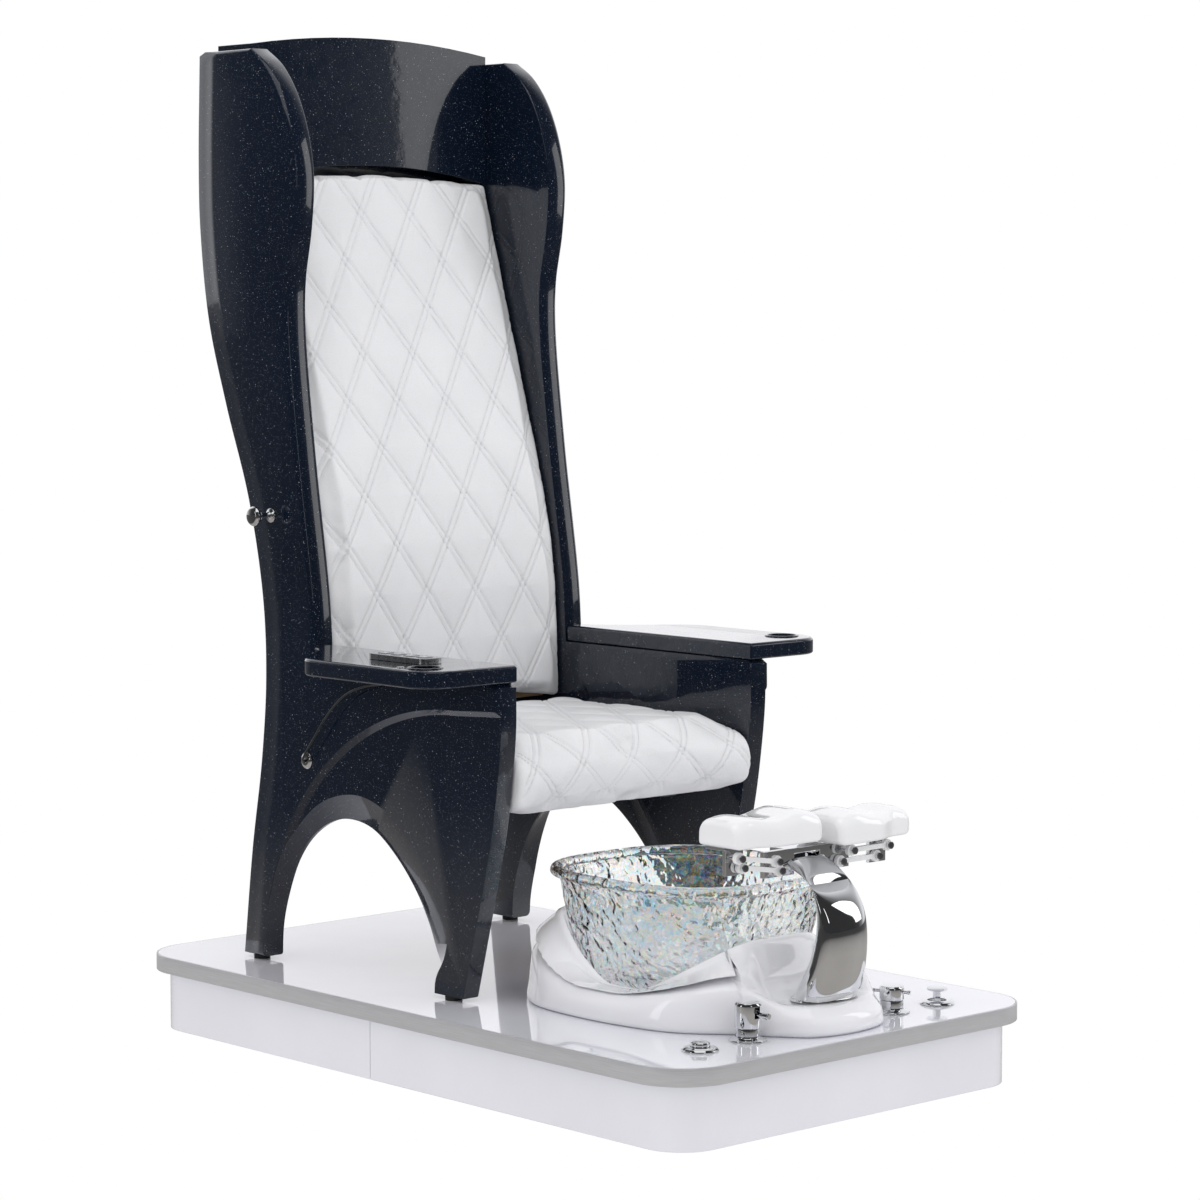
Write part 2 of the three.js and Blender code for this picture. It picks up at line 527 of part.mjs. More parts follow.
// Outer foot of the surround as a distance from the bowl's centre, by direction
const footHalf = [[0, 262], [150, 240], [232, 150], [252, 40], [247, -90], [222, -190], [156, -274],
  [118, -332], [80, -374], [0, -391]];
const footOther = footHalf.slice(1, -1).reverse().map(([x, y]) => [-x, y]);
const footPlaces = [...footHalf, ...footOther].map(([x, y]) => new THREE.Vector3(x, y, 0));
const footLine = new THREE.CatmullRomCurve3(footPlaces, true, "centripetal");
const footPoints = footLine.getSpacedPoints(72).slice(0, 72);
const smoothStep = (a, b, x) => {
  const t = Math.min(1, Math.max(0, (x - a) / (b - a)));
  return t * t * (3 - 2 * t);
};
const LIP = { low: 46, rearRise: 104, frontRise: 92 };
function surround() {
  const bowlReach = (turn, share) => {
    const c = Math.cos(turn);
    const s = Math.sin(turn);
    const sum = (Math.abs(c) / rimX) ** BOWL.power + (Math.abs(s) / rimY) ** BOWL.power;
    return share / sum ** (1 / BOWL.power);
  };
  const bowlShareAt = (z) => {
    const k = bowlWall.findIndex(([, height]) => height > z);
    const [s0, z0] = bowlWall[Math.max(0, k - 1)];
    const [s1, z1] = bowlWall[k];
    return s0 + ((s1 - s0) * (z - z0)) / (z1 - z0);
  };
  const levels = 8; // rings of the surround's section, from its inner foot round to its inner wall
  const rings = Array.from({ length: levels }, () => []);
  for (const foot of footPoints) {
    const reach = foot.length();
    const turn = Math.atan2(foot.y, foot.x);
    const rearward = Math.asin(Math.sin(turn));
    // The lip is high behind the bowl and by the column, and low at both sides.
    const rear = smoothStep(0.1, 0.95, rearward);
    const front = smoothStep(0.2, 1.35, -rearward);
    const lip = LIP.low + LIP.rearRise * rear + LIP.frontRise * front;
    const lobe = smoothStep(300, 372, reach);
    const inner = bowlReach(turn, bowlShareAt(lip) + 0.012);
    const lipOut = Math.min(inner + 16, reach - 12);
    const shoulder = LIP.low + (lip - LIP.low) * (1 - lobe) * 0.45;
    const shoulderOut = reach - 14 - lobe * 4;
    const floor = bowlReach(turn, 0.5);
    const place = (r, z) => new THREE.Vector3(r * Math.cos(turn), BOWL.y + r * Math.sin(turn), z);
    const foldIn = lobe * Math.max(0, shoulderOut - (lipOut + 26));
    rings[0].push(place(floor, GAP));
    rings[1].push(place(reach, GAP));
    rings[2].push(place(reach - 3, Math.min(30, shoulder - 8)));
    rings[3].push(place(Math.max(shoulderOut, lipOut + 6), shoulder));
    rings[4].push(place(Math.max(shoulderOut - foldIn, lipOut + 4), shoulder + 3));
    rings[5].push(place(lipOut, lip));
    rings[6].push(place(inner, lip - 3));
    rings[7].push(place(floor, Math.min(lip - 8, 60)));
  }
  const clear = 0.012;
  const space = skin([[bowlWall[1][0], 20], ...bowlWall.slice(1), [1, 260]].map(([share, z]) => ovalRing(
    rimX * (share + clear), rimY * (share + clear), z, BOWL.y)));
  return cut(skin(rings, true), space);
}
add(deckLevel, "basin_surround", surround(), "white");
const drainProfile = [[14, -28], [24, -28], [24, 21.5], [25.4, 21.5], [25.4, 31.6], [34, 31.6], [34, 33.2],
  [27, 35], [14, 32]];
add(deckLevel, "bowl_drain", turned(drainProfile, 20), "chrome", [0, BOWL.y, 0]);
const stopperProfile = [[0, 8], [4, 8], [4, 36.5], [22, 36.5], [24, 38.5], [20, 41], [0, 42.5]];
add(deckLevel, "drain_stopper", turned(stopperProfile, 20), "chrome", [0, BOWL.y, 0]);

// Footrest: a curved chrome column, a head block and a parallel linkage under each pad
const columnStations = [
  [-623, 51, 63, 40, 0], [-639, 80, 61, 34, 0], [-655, 125, 56, 28, 0], [-661, 170, 52, 24, -6],
  [-656, 205, 50, 22, -18], [-639, 236, 48, 20, -36], [-611, 258, 46, 18, -52], [-580, 272, 46, 17, -60],
];
const columnRings = columnStations.map(([y, z, halfX, halfY, lean]) => {
  const ring = [];
  const tilt = THREE.MathUtils.degToRad(-lean);
  for (let i = 0; i < 24; i += 1) {
    const turn = (2 * Math.PI * i) / 24;
    const along = halfY * Math.sin(turn);
    ring.push(new THREE.Vector3(
      halfX * Math.cos(turn), y + along * Math.cos(tilt), z + along * Math.sin(tilt)));
  }
  return ring;
});
const columnFoot = disc(1, 49.5, 53, 24).scale(66, 43, 1).translate(0, -622, 0);
add(deckLevel, "footrest_column", join(skin(columnRings), columnFoot), "chrome");
const headTop = 297;
const pinRadius = 3;
const boss = { radius: 10, bar: 4.2 };
const rearLayer = { from: LINK.frontY + 10, to: LINK.frontY + 18 };
const frontLayer = { from: LINK.frontY, to: LINK.frontY + 8 };
function footrestHead() {
  const back = rearLayer.to + 1;
  let head = block(-48, 48, back, back + 40, 288, headTop);
  for (const side of [-1, 1]) {
    const x = side * LINK.pivotX;
    const lower = { x: side * (LINK.pivotX - LINK.dropX), z: LINK.pivotZ - LINK.dropZ };
    const arm = side < 0
      ? block(x - 12, -30, back, back + 10, LINK.pivotZ - LINK.dropZ - 12, headTop)
      : block(30, x + 12, back, back + 10, LINK.pivotZ - LINK.dropZ - 12, headTop);
    head = join(head, arm, pin(pinRadius, x, LINK.pivotZ, frontLayer.from - 3, back + 1),
      pin(6, x, LINK.pivotZ, frontLayer.from - 5, frontLayer.from - 1),
      pin(pinRadius, lower.x, lower.z, rearLayer.from - 3, back + 1),
      pin(6, lower.x, lower.z, rearLayer.from - 5, rearLayer.from - 1));
  }
  return head;
}
// Local frame of one side's linkage: outward is +x, the bar rises outward by the given angle.
function linkBar(rise, layer) {
  const tip = { x: LINK.reach * Math.cos(rise), z: LINK.reach * Math.sin(rise) };
  const bar = block(0, LINK.reach, layer.from, layer.to, -boss.bar, boss.bar).rotateY(-rise);
  const body = join(bar, pin(boss.radius, 0, 0, layer.from, layer.to, 20),
    pin(boss.radius, tip.x, tip.z, layer.from, layer.to, 20));
  const bore = pinRadius + 0.4;
  return cut(body, pin(bore, 0, 0, layer.from - 1, layer.to + 1),
    pin(bore + 0.4, tip.x, tip.z, layer.from - 1, layer.to + 1));
}
function padBracket() {
  const back = rearLayer.to + 1;
  const wall = block(-14, LINK.dropX - 2, back, back + 8, -LINK.dropZ - 12, 17);
  const shelf = block(-60, 18, back, back + 44, 12, 17);
  return join(wall, shelf, pin(pinRadius, 0, 0, frontLayer.from - 3, back + 1),
    pin(6, 0, 0, frontLayer.from - 5, frontLayer.from - 1),
    pin(pinRadius, -LINK.dropX, -LINK.dropZ, rearLayer.from - 3, back + 1),
    pin(6, -LINK.dropX, -LINK.dropZ, rearLayer.from - 5, rearLayer.from - 1),
    block(-LINK.dropX - 10, -6, back, back + 8, -LINK.dropZ - 12, 14));
}
// A foot pad is a saddle: a tall inner lobe, a dip and a lower outer lobe, rolled over at the front.
const PAD = { inner: 20, outer: 208, front: -640, rear: -530, thick: 36 };
function footPad() {
  const stations = 12;
  const width = PAD.outer - PAD.inner;
  const rings = [];
  for (let i = 0; i <= stations; i += 1) {
    const t = i / stations;
    const edge = Math.min(1, Math.min(t, 1 - t) * 9);
    const rise = 14 + 7 * Math.cos(2 * Math.PI * (t - 0.24)) * (t < 0.74 ? 1 : 0.6) - 8 * (1 - edge);
    const retreat = 12 * smoothStep(0.6, 1, t) + 8 * (1 - edge);
    const front = PAD.front + retreat;
    const rear = PAD.rear - 8 * (1 - edge);
    const top = PAD.thick + rise;
    const profile = [[front, 0], [front - 1, top * 0.42], [front + 6, top * 0.7], [front + 22, top * 0.9],
      [front + 46, top], [rear - 20, top], [rear - 5, top * 0.88], [rear, top * 0.6], [rear, 0]];
    rings.push(profile.map(([y, z]) => new THREE.Vector3(t * width, y, z)));
  }
  return skin(rings);
}
add(deckLevel, "footrest_head", footrestHead(), "chrome");
const linkAngle = { left: THREE.MathUtils.degToRad(9), right: 0 };
for (const side of ["left", "right"]) {
  const rise = linkAngle[side];
  const flip = side === "left" ? mirrored : (geometry) => geometry.clone();
  const sign = side === "left" ? -1 : 1;
  const tip = { x: LINK.reach * Math.cos(rise), z: LINK.reach * Math.sin(rise) };
  add(deckLevel, `${side}_upper_link`, flip(linkBar(rise, frontLayer)), "white",
    [sign * LINK.pivotX, 0, LINK.pivotZ]);
  add(deckLevel, `${side}_lower_link`, flip(linkBar(rise, rearLayer)), "white",
    [sign * (LINK.pivotX - LINK.dropX), 0, LINK.pivotZ - LINK.dropZ]);
  add(deckLevel, `${side}_pad_bracket`, flip(padBracket()), "chrome",
    [sign * (LINK.pivotX + tip.x), 0, LINK.pivotZ + tip.z]);
  add(deckLevel, `${side}_foot_pad`, flip(footPad()), "white",
    [sign * PAD.inner, 0, LINK.pivotZ + tip.z + 17 + GAP]);
}

// Taps and fittings on the deck, in front of the bowl
const flangeProfile = [[0, GAP], [TAP.flange, GAP], [TAP.flange, 4], [20, 7], [20, 22], [0, 22]];
const tailProfile = [[0, -31], [12, -31], [12, 5], [0, 5]];
const tapBase = join(turned(flangeProfile, 28), turned(tailProfile, 16));
add(deckLevel, "mixer_base", tapBase, "chrome", [-TAP.x, TAP.y, 0]);
const bodyProfile = [[0, 22 + GAP], [22.5, 22 + GAP], [22.5, 60], [20, 64], [0, 64]];
const mixerTurn = { z: 46 };
const leverPocket = block(-6, 6, -30, -6, mixerTurn.z - 7, mixerTurn.z + 12);
add(deckLevel, "mixer_body", cut(turned(bodyProfile, 28), leverPocket), "chrome", [-TAP.x, TAP.y, 0]);
const leverBar = pin(4, 0, 0, -40, 0, 14);
const leverKnob = pin(5.6, 0, 0, -42, -28, 16);
add(deckLevel, "mixer_lever", join(leverBar, leverKnob), "chrome", [-TAP.x, TAP.y - 7, mixerTurn.z]);
add(deckLevel, "diverter_base", tapBase, "chrome", [TAP.x, TAP.y, 0]);
const diverterProfile = [[0, 22 + GAP], [21, 22 + GAP], [21, 42], [18, 46], [0, 46]];
const spokes = [0.5, 2, 3.5, 5].map((turn) => pin(3, 0, 0, 14, 33, 10).rotateZ(turn).translate(0, 0, 36));
add(deckLevel, "diverter_knob", join(turned(diverterProfile, 28), ...spokes), "chrome", [TAP.x, TAP.y, 0]);
const ringProfile = [[16.4, GAP], [30, GAP], [30, 2.5], [24, 7], [16.4, 7]];
const pressProfile = [[0, 1], [16, 1], [16, 8], [12, 10], [0, 11]];
add(deckLevel, "air_button_ring", turned(ringProfile, 28), "chrome", [-TAP.buttonX, TAP.buttonY, 0]);
add(deckLevel, "air_button", turned(pressProfile, 24), "chrome", [-TAP.buttonX, TAP.buttonY, 5]);
add(deckLevel, "drain_knob_ring", turned(ringProfile, 28), "chrome", [TAP.buttonX, TAP.buttonY, 0]);
const pullProfile = [[0, 0.6], [7, 0.6], [7, 14], [17, 15], [18, 18], [12, 20], [0, 20.5]];
add(deckLevel, "drain_knob", turned(pullProfile, 24), "chrome", [TAP.buttonX, TAP.buttonY, 9]);

export default object;
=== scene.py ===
# Pedicure spa chair: a winged gelcoat armchair and a glass foot bowl on one raised deck.
# Metres, +Z up, the chair faces -Y. After the studio and the keypad's cable come the deck, the chair and
# its cushions, the bowl, the footrest and the taps.
import math

import bmesh
import bpy
import numpy as np
from mathutils import Matrix, Vector, noise
from mathutils.bvhtree import BVHTree


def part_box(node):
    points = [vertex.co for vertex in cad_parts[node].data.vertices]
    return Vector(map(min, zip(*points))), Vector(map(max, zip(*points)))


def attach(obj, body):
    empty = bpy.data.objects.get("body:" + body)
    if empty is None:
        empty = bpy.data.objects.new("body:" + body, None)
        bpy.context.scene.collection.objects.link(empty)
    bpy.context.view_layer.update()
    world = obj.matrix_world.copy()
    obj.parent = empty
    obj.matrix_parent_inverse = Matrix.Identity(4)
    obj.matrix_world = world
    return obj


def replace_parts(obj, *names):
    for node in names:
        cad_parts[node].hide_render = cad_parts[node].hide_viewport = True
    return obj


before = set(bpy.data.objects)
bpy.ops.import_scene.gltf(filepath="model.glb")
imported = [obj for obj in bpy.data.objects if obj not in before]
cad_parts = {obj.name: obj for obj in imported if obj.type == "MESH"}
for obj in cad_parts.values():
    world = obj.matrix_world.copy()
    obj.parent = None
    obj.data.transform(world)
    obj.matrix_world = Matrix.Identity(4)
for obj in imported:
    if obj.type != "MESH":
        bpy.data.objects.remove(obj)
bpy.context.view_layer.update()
scene = bpy.context.scene


def linked(name, data):
    """A new object in the scene."""
    made = bpy.data.objects.new(name, data)
    scene.collection.objects.link(made)
    return made


def stand_at(holder, place, heading):
    """Stands a camera or a lamp at a place and turns it along a heading."""
    holder.location = place
    holder.rotation_mode = "QUATERNION"
    holder.rotation_quaternion = heading.to_track_quat("-Z", "Y")


# Studio and camera
# A white sweep lit from above, from the left and from the right front, with a strip near the camera.
# Reflections see the white backdrop behind the chair and a dark room round the camera, which stands off
# the left front.
CAMERA = {"place": (-4.2498, -4.6692, 1.3423), "heading": (0.6780, 0.7351), "pitch": -4.815,
          "lens": 107.55, "shift": 0.0045}
pitch = math.radians(CAMERA["pitch"])
camera = linked("camera", bpy.data.cameras.new("camera"))
camera.data.lens = CAMERA["lens"]
camera.data.sensor_width = 36.0
camera.data.shift_x = CAMERA["shift"]
aim = Vector((*(part * math.cos(pitch) for part in CAMERA["heading"]), math.sin(pitch)))
stand_at(camera, CAMERA["place"], aim)
scene.camera = camera
scene.view_settings.view_transform = "Standard"
LAMPS_AIM = Vector((0.0, 0.0, 0.9))


def softbox(name, place, size, power):
    lamp = bpy.data.lights.new(name, "AREA")
    lamp.shape = "RECTANGLE"
    lamp.size, lamp.size_y = size
    lamp.energy = power
    stand_at(linked(name, lamp), place, LAMPS_AIM - Vector(place))


softbox("overhead_softbox", (-0.6, -0.8, 4.2), (3.0, 3.0), 26)
softbox("left_softbox", (-4.2, 0.6, 1.9), (0.7, 2.6), 9)
softbox("right_softbox", (3.4, -2.6, 2.2), (1.2, 2.8), 18)
softbox("front_strip", (-1.2, -4.6, 2.4), (0.4, 2.2), 5)

world = bpy.data.worlds.new("studio")
scene.world = world
world.use_nodes = True
sky = world.node_tree
sky.nodes.clear()
sky_out = sky.nodes.new("ShaderNodeOutputWorld")
room = sky.nodes.new("ShaderNodeBackground")
backdrop = sky.nodes.new("ShaderNodeBackground")
backdrop.inputs["Color"].default_value = (1.0, 1.0, 1.0, 1.0)
backdrop.inputs["Strength"].default_value = 1.0
rays = sky.nodes.new("ShaderNodeLightPath")
pick = sky.nodes.new("ShaderNodeMixShader")
sight = sky.nodes.new("ShaderNodeTexCoord")
depth = sky.nodes.new("ShaderNodeVectorMath")
depth.operation = "DOT_PRODUCT"
depth.inputs[1].default_value = (*CAMERA["heading"], 0.0)
shade = sky.nodes.new("ShaderNodeValToRGB")
# Brightness of the room by how far a ray heads away from the camera
ROOM = [(0.0, 0.035), (0.15, 0.05), (0.32, 0.22), (0.55, 0.85), (1.0, 1.0)]
while len(shade.color_ramp.elements) < len(ROOM):
    shade.color_ramp.elements.new(0.5)
for stop, (place, value) in zip(shade.color_ramp.elements, ROOM):
    stop.position = place
    stop.color = (value, value, value * 1.03, 1.0)
# A mirrored ray sees the room and a dim floor; each pass through glass takes most of that off again
GLASS_PASS = -0.65
mirrored = sky.nodes.new("ShaderNodeMath")
mirrored.operation = "MULTIPLY_ADD"
mirrored.inputs[1].default_value = GLASS_PASS
mirrored.use_clamp = True
for output, socket in ((sight.outputs["Generated"], depth.inputs[0]),
                       (depth.outputs["Value"], shade.inputs["Fac"]),
                       (shade.outputs["Color"], room.inputs["Color"]),
                       (rays.outputs["Transmission Depth"], mirrored.inputs[0]),
                       (rays.outputs["Is Glossy Ray"], mirrored.inputs[2]),
                       (mirrored.outputs[0], pick.inputs[0]),
                       (backdrop.outputs[0], pick.inputs[1]),
                       (room.outputs[0], pick.inputs[2]),
                       (pick.outputs[0], sky_out.inputs["Surface"])):
    sky.links.new(output, socket)


# Materials are small node graphs; graph() starts one and gives its shader, a node maker and the object's
# own coordinates.
def graph(name):
    material = bpy.data.materials.new(name)
    material.use_nodes = True
    tree = material.node_tree
    shader = tree.nodes["Principled BSDF"]

    def node(kind, inputs=(), **settings):
        made = tree.nodes.new(kind)
        for key, value in settings.items():
            setattr(made, key, value)
        for key, value in dict(inputs).items():
            if isinstance(value, bpy.types.NodeSocket):
                tree.links.new(value, made.inputs[key])
            else:
                made.inputs[key].default_value = value
        return made

    return material, shader, node, node("ShaderNodeTexCoord").outputs["Object"]


def ramp(node, source, stops):
    """A colour ramp whose stops are (place, colour) or (place, grey)."""
    made = node("ShaderNodeValToRGB", {"Fac": source})
    steps = made.color_ramp.elements
    while len(steps) < len(stops):
        steps.new(0.5)
    for step, (place, colour) in zip(steps, stops):
        step.position = place
        step.color = (colour, colour, colour, 1.0) if isinstance(colour, float) else (*colour, 1.0)
    return made.outputs["Color"]


def link(socket, source):
    socket.id_data.links.new(source, socket)


def grain_of(node, place, scale, detail, **more):
    """A noise texture's value."""
    inputs = {"Vector": place, "Scale": scale, "Detail": detail, **more}
    return node("ShaderNodeTexNoise", inputs).outputs["Fac"]


def raise_by(node, shader, height, strength, distance):
    """Small relief on a material's surface."""
    bump = node("ShaderNodeBump", {"Height": height, "Strength": strength, "Distance": distance})
    link(shader.inputs["Normal"], bump.outputs["Normal"])


def floor_material():
    material, shader, node, place = graph("studio_floor")
    cloud = grain_of(node, place, 1.5, 2.0)
    away = node("ShaderNodeVectorMath", {0: place}, operation="LENGTH").outputs["Value"]
    reach = node("ShaderNodeMapRange", {"Value": away, "From Min": 1.4, "From Max": 3.6}).outputs["Result"]
    # Painted shade: the reflected floor's colour goes from grey in the middle to near black further out.
    near = node("ShaderNodeMix", {"Factor": reach, 6: (0.36, 0.34, 0.32, 1.0), 7: (0.05, 0.05, 0.05, 1.0)},
                data_type="RGBA").outputs[2]
    link(shader.inputs["Base Color"], near)
    link(shader.inputs["Roughness"], ramp(node, cloud, [(0.3, 0.55), (0.7, 0.65)]))
    # The floor is a lit white sweep. Only in reflections is it dim: there it is a painted shaded copy, grey
    # near the chair and darker further out.
    tree = material.node_tree
    sweep = node("ShaderNodeEmission", {"Color": (1.0, 1.0, 1.0, 1.0), "Strength": 1.0}).outputs[0]
    ray = node("ShaderNodeLightPath").outputs
    passes, glossy = ray["Transmission Depth"], ray["Is Glossy Ray"]
    mirrored_ray = node("ShaderNodeMath", {0: passes, 1: GLASS_PASS, 2: glossy}, operation="MULTIPLY_ADD",
                        use_clamp=True).outputs[0]
    both = node("ShaderNodeMixShader", {0: mirrored_ray, 1: sweep, 2: shader.outputs[0]}).outputs[0]
    tree.links.new(both, tree.nodes["Material Output"].inputs["Surface"])
    return material


FLOOR = {"half": 40.0, "z": -0.0005}
floor_mesh = bpy.data.meshes.new("floor")
floor_mesh.from_pydata([(x * FLOOR["half"], y * FLOOR["half"], FLOOR["z"])
                        for x, y in ((-1, -1), (1, -1), (1, 1), (-1, 1))], [], [(0, 1, 2, 3)])
floor = linked("floor", floor_mesh)
floor_mesh.materials.append(floor_material())

# Keypad cable
# A thin black lead that leaves the chrome grommet in the left shell, hangs in a shallow bow and goes up
# into the underside of the arm tray, where it joins the keypad. It is free only between those two ends.
DECK_TOP = 0.140


def smooth_line(points, count, closed=False):
    """Evenly spread points on a centripetal spline through a few points, as in the CAD source."""
    places = [Vector(p) for p in points]
    dense = []
    last = len(places) if closed else len(places) - 1
    for i in range(last):
        b, c = places[i], places[(i + 1) % len(places)]
        a = places[i - 1] if closed or i > 0 else b * 2 - c
        d = places[(i + 2) % len(places)] if closed or i + 2 < len(places) else c * 2 - b
        d0, d1, d2 = (max((q - p).length ** 0.5, 1e-5) for p, q in ((a, b), (b, c), (c, d)))
        t1 = ((b - a) / d0 - (c - a) / (d0 + d1) + (c - b) / d1) * d1
        t2 = ((c - b) / d1 - (d - b) / (d1 + d2) + (d - c) / d2) * d1
        for k in range(40):
            u = k / 40
            dense.append(b + t1 * u + (3 * (c - b) - 2 * t1 - t2) * u * u + (2 * (b - c) + t1 + t2) * u ** 3)
    dense.append(places[0] if closed else places[-1])
    run = [0.0]
    for p, q in zip(dense, dense[1:]):
        run.append(run[-1] + (q - p).length)
    made = []
    seek = 0
    for k in range(count if closed else count + 1):
        want = run[-1] * k / count
        while seek < len(run) - 2 and run[seek + 1] < want:
            seek += 1
        share = (want - run[seek]) / max(run[seek + 1] - run[seek], 1e-9)
        made.append(dense[seek].lerp(dense[seek + 1], min(1.0, max(0.0, share))))
    return made


def rubber_material(name, grey=0.012, rough=(0.55, 0.8)):
    material, shader, node, place = graph(name)
    grain = grain_of(node, place, 900.0, 3.0)
    dust = grain_of(node, place, 60.0, 4.0)
    link(shader.inputs["Base Color"], ramp(node, dust, [(0.35, grey), (0.8, grey * 2.2)]))
    link(shader.inputs["Roughness"], ramp(node, grain, [(0.3, rough[0]), (0.7, rough[1])]))
    raise_by(node, shader, grain, 0.15, 0.0005)
    return material


CABLE_ROUTE = [(-281, 341, 381), (-310, 341, 381), (-332, 341, 381), (-338, 338, 384), (-341, 300, 428),
               (-342, 262, 470), (-344, 213, 508), (-351, 150, 530), (-358, 90, 540), (-360, 64, 548),
               (-360, 60, 560), (-360, 60, 584)]
CABLE_RADIUS = 0.002
cable_points = [tuple(value * 0.001 for value in p) for p in CABLE_ROUTE]
cable_line = [p + Vector((0, 0, DECK_TOP)) for p in smooth_line(cable_points, 160)]
cable_curve = bpy.data.curves.new("keypad_lead", "CURVE")
cable_curve.dimensions = "3D"
cable_curve.bevel_depth = CABLE_RADIUS
cable_curve.bevel_resolution = 4
cable_curve.use_fill_caps = True
cable_spline = cable_curve.splines.new("POLY")
cable_spline.points.add(len(cable_line) - 1)
for point, p in zip(cable_spline.points, cable_line):
    point.co = (*p, 1.0)
keypad_lead = linked("keypad_lead", cable_curve)
cable_curve.materials.append(rubber_material("black_lead_jacket", 0.010, (0.35, 0.5)))
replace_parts(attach(keypad_lead, "frame"), "keypad_cable")

# Deck
# A white laminate board 30 mm thick, wrapped in a satin aluminium band that is rolled round the corners
# and pinned at the back. The board lies on a steel frame.
DECK = {"half_x": 0.432, "half_y": 0.724, "corner": 0.100, "thick": 0.030, "band": 0.0027}


def rounded_outline(half_x, half_y, corner, steps=32):
    """A rectangle with round corners, from its right rear corner and anticlockwise."""
    points = []
    for quarter, (sx, sy) in enumerate(((1, 1), (-1, 1), (-1, -1), (1, -1))):
        for k in range(steps + 1):
            turn = (quarter + k / steps) * math.pi / 2
            points.append(((half_x - corner) * sx + corner * math.cos(turn),
                           (half_y - corner) * sy + corner * math.sin(turn)))
    return points


def mesh_object(name, points, faces, material):
    """A piece from points and faces, with doubles merged and its faces turned outwards."""
    mesh = bpy.data.meshes.new(name)
    body = bmesh.new()
    made = [body.verts.new(p) for p in points]
    for face in faces:
        try:
            body.faces.new([made[i] for i in face])
        except ValueError:
            pass
    bmesh.ops.remove_doubles(body, verts=body.verts, dist=1e-6)
    bmesh.ops.recalc_face_normals(body, faces=body.faces)
    body.to_mesh(mesh)
    body.free()
    mesh.materials.append(material)
    return linked(name, mesh)


def loft(name, rings, material, closed=False, sharp=30.0):
    """A skin over rings of equal count, capped at both ends or joined end to end."""
    count = len(rings[0])
    points = [p for ring in rings for p in ring]
    faces = []
    for r in range(len(rings) if closed else len(rings) - 1):
        low, high = r * count, ((r + 1) % len(rings)) * count
        for i in range(count):
            j = (i + 1) % count
            faces.append((low + i, low + j, high + j, high + i))
    if not closed:
        faces.append(tuple(range(count - 1, -1, -1)))
        faces.append(tuple(range((len(rings) - 1) * count, len(rings) * count)))
    piece = mesh_object(name, points, faces, material)
    smooth_shade(piece, sharp)
    return piece


def smooth_shade(piece, sharp=30.0):
    piece.data.shade_smooth()
    piece.data.set_sharp_from_angle(angle=math.radians(sharp))


def rounded_edges(piece, width, segments=3, limit=28.0):
    """A real rounding on every sharp edge, kept as a live modifier."""
    modifier = piece.modifiers.new("edge_rounding", "BEVEL")
    modifier.width = width
    modifier.segments = segments
    modifier.limit_method = "ANGLE"
    modifier.angle_limit = math.radians(limit)
    modifier.harden_normals = False
    return piece


def dress(piece, body, slot, *nodes):
    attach(piece, body)
    if nodes:
        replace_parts(piece, *nodes)
    return piece


def finish_node(name, material):
    """A carried-over CAD node takes its finish."""
    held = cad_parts[name]
    held.data.materials.clear()
    held.data.materials.append(material)


def white_gelcoat_material(name, tone, gloss):
    material, shader, node, place = graph(name)
    cloud = grain_of(node, place, 5.0, 4.0)
    peel = grain_of(node, place, 130.0, 2.0)
    scuff = grain_of(node, place, 24.0, 8.0, Roughness=0.7)
    dim = tuple(v * 0.965 for v in tone)
    link(shader.inputs["Base Color"], ramp(node, cloud, [(0.35, dim), (0.65, tone)]))
    link(shader.inputs["Roughness"], ramp(node, scuff, [(0.4, gloss[0]), (0.75, gloss[1])]))
    shader.inputs["Coat Weight"].default_value = 0.6
    shader.inputs["Coat Roughness"].default_value = 0.03
    raise_by(node, shader, peel, 0.05, 0.0006)
    return material


def brushed_metal_material(name, tone, rough, stretch, scale, metallic=1.0):
    material, shader, node, place = graph(name)
    turned_map = node("ShaderNodeMapping", {"Vector": place, "Scale": stretch}).outputs["Vector"]
    lines = grain_of(node, turned_map, scale, 6.0)
    dim = tuple(v * 0.86 for v in tone)
    link(shader.inputs["Base Color"], ramp(node, lines, [(0.3, dim), (0.7, tone)]))
    link(shader.inputs["Roughness"], ramp(node, lines, [(0.3, rough[0]), (0.7, rough[1])]))
    shader.inputs["Metallic"].default_value = metallic
    raise_by(node, shader, lines, 0.08, 0.0004)
    return material


deck_white = white_gelcoat_material("deck_white_laminate", (0.78, 0.78, 0.845), (0.04, 0.09))
satin_band = brushed_metal_material("satin_aluminium_band", (0.60, 0.60, 0.62), (0.34, 0.46),
                                    (1.0, 1.0, 45.0), 22.0, 0.45)
finish_node("deck_board", deck_white)


def band_ring(inset, z):
    sizes = (DECK[key] - inset for key in ("half_x", "half_y", "corner"))
    return [(x, y, z) for x, y in rounded_outline(*sizes)]


band_low, band_high = DECK_TOP - DECK["thick"], DECK_TOP
deck_band = loft("deck_edge_trim", [
    band_ring(DECK["band"], band_low), band_ring(0.0006, band_low), band_ring(0.0, band_low + 0.0008),
    band_ring(0.0, band_high - 0.0012), band_ring(0.0004, band_high - 0.0003), band_ring(0.0012, band_high),
    band_ring(DECK["band"], band_high)], satin_band, closed=True, sharp=50)
dress(deck_band, "frame", "satin_aluminium", "deck_edge_band")

# Plinth
# Two U-shaped white skirts of moulded board with a glossy skin. They meet in a fine upright seam on each
# long side and are screwed to the frame from inside.
PLINTH = {"inset": 0.025, "wall": 0.012, "seam_y": 0.068, "gap": 0.0006, "top": 0.1097}
plinth_white = white_gelcoat_material("plinth_white_skin", (0.74, 0.74, 0.79), (0.10, 0.20))


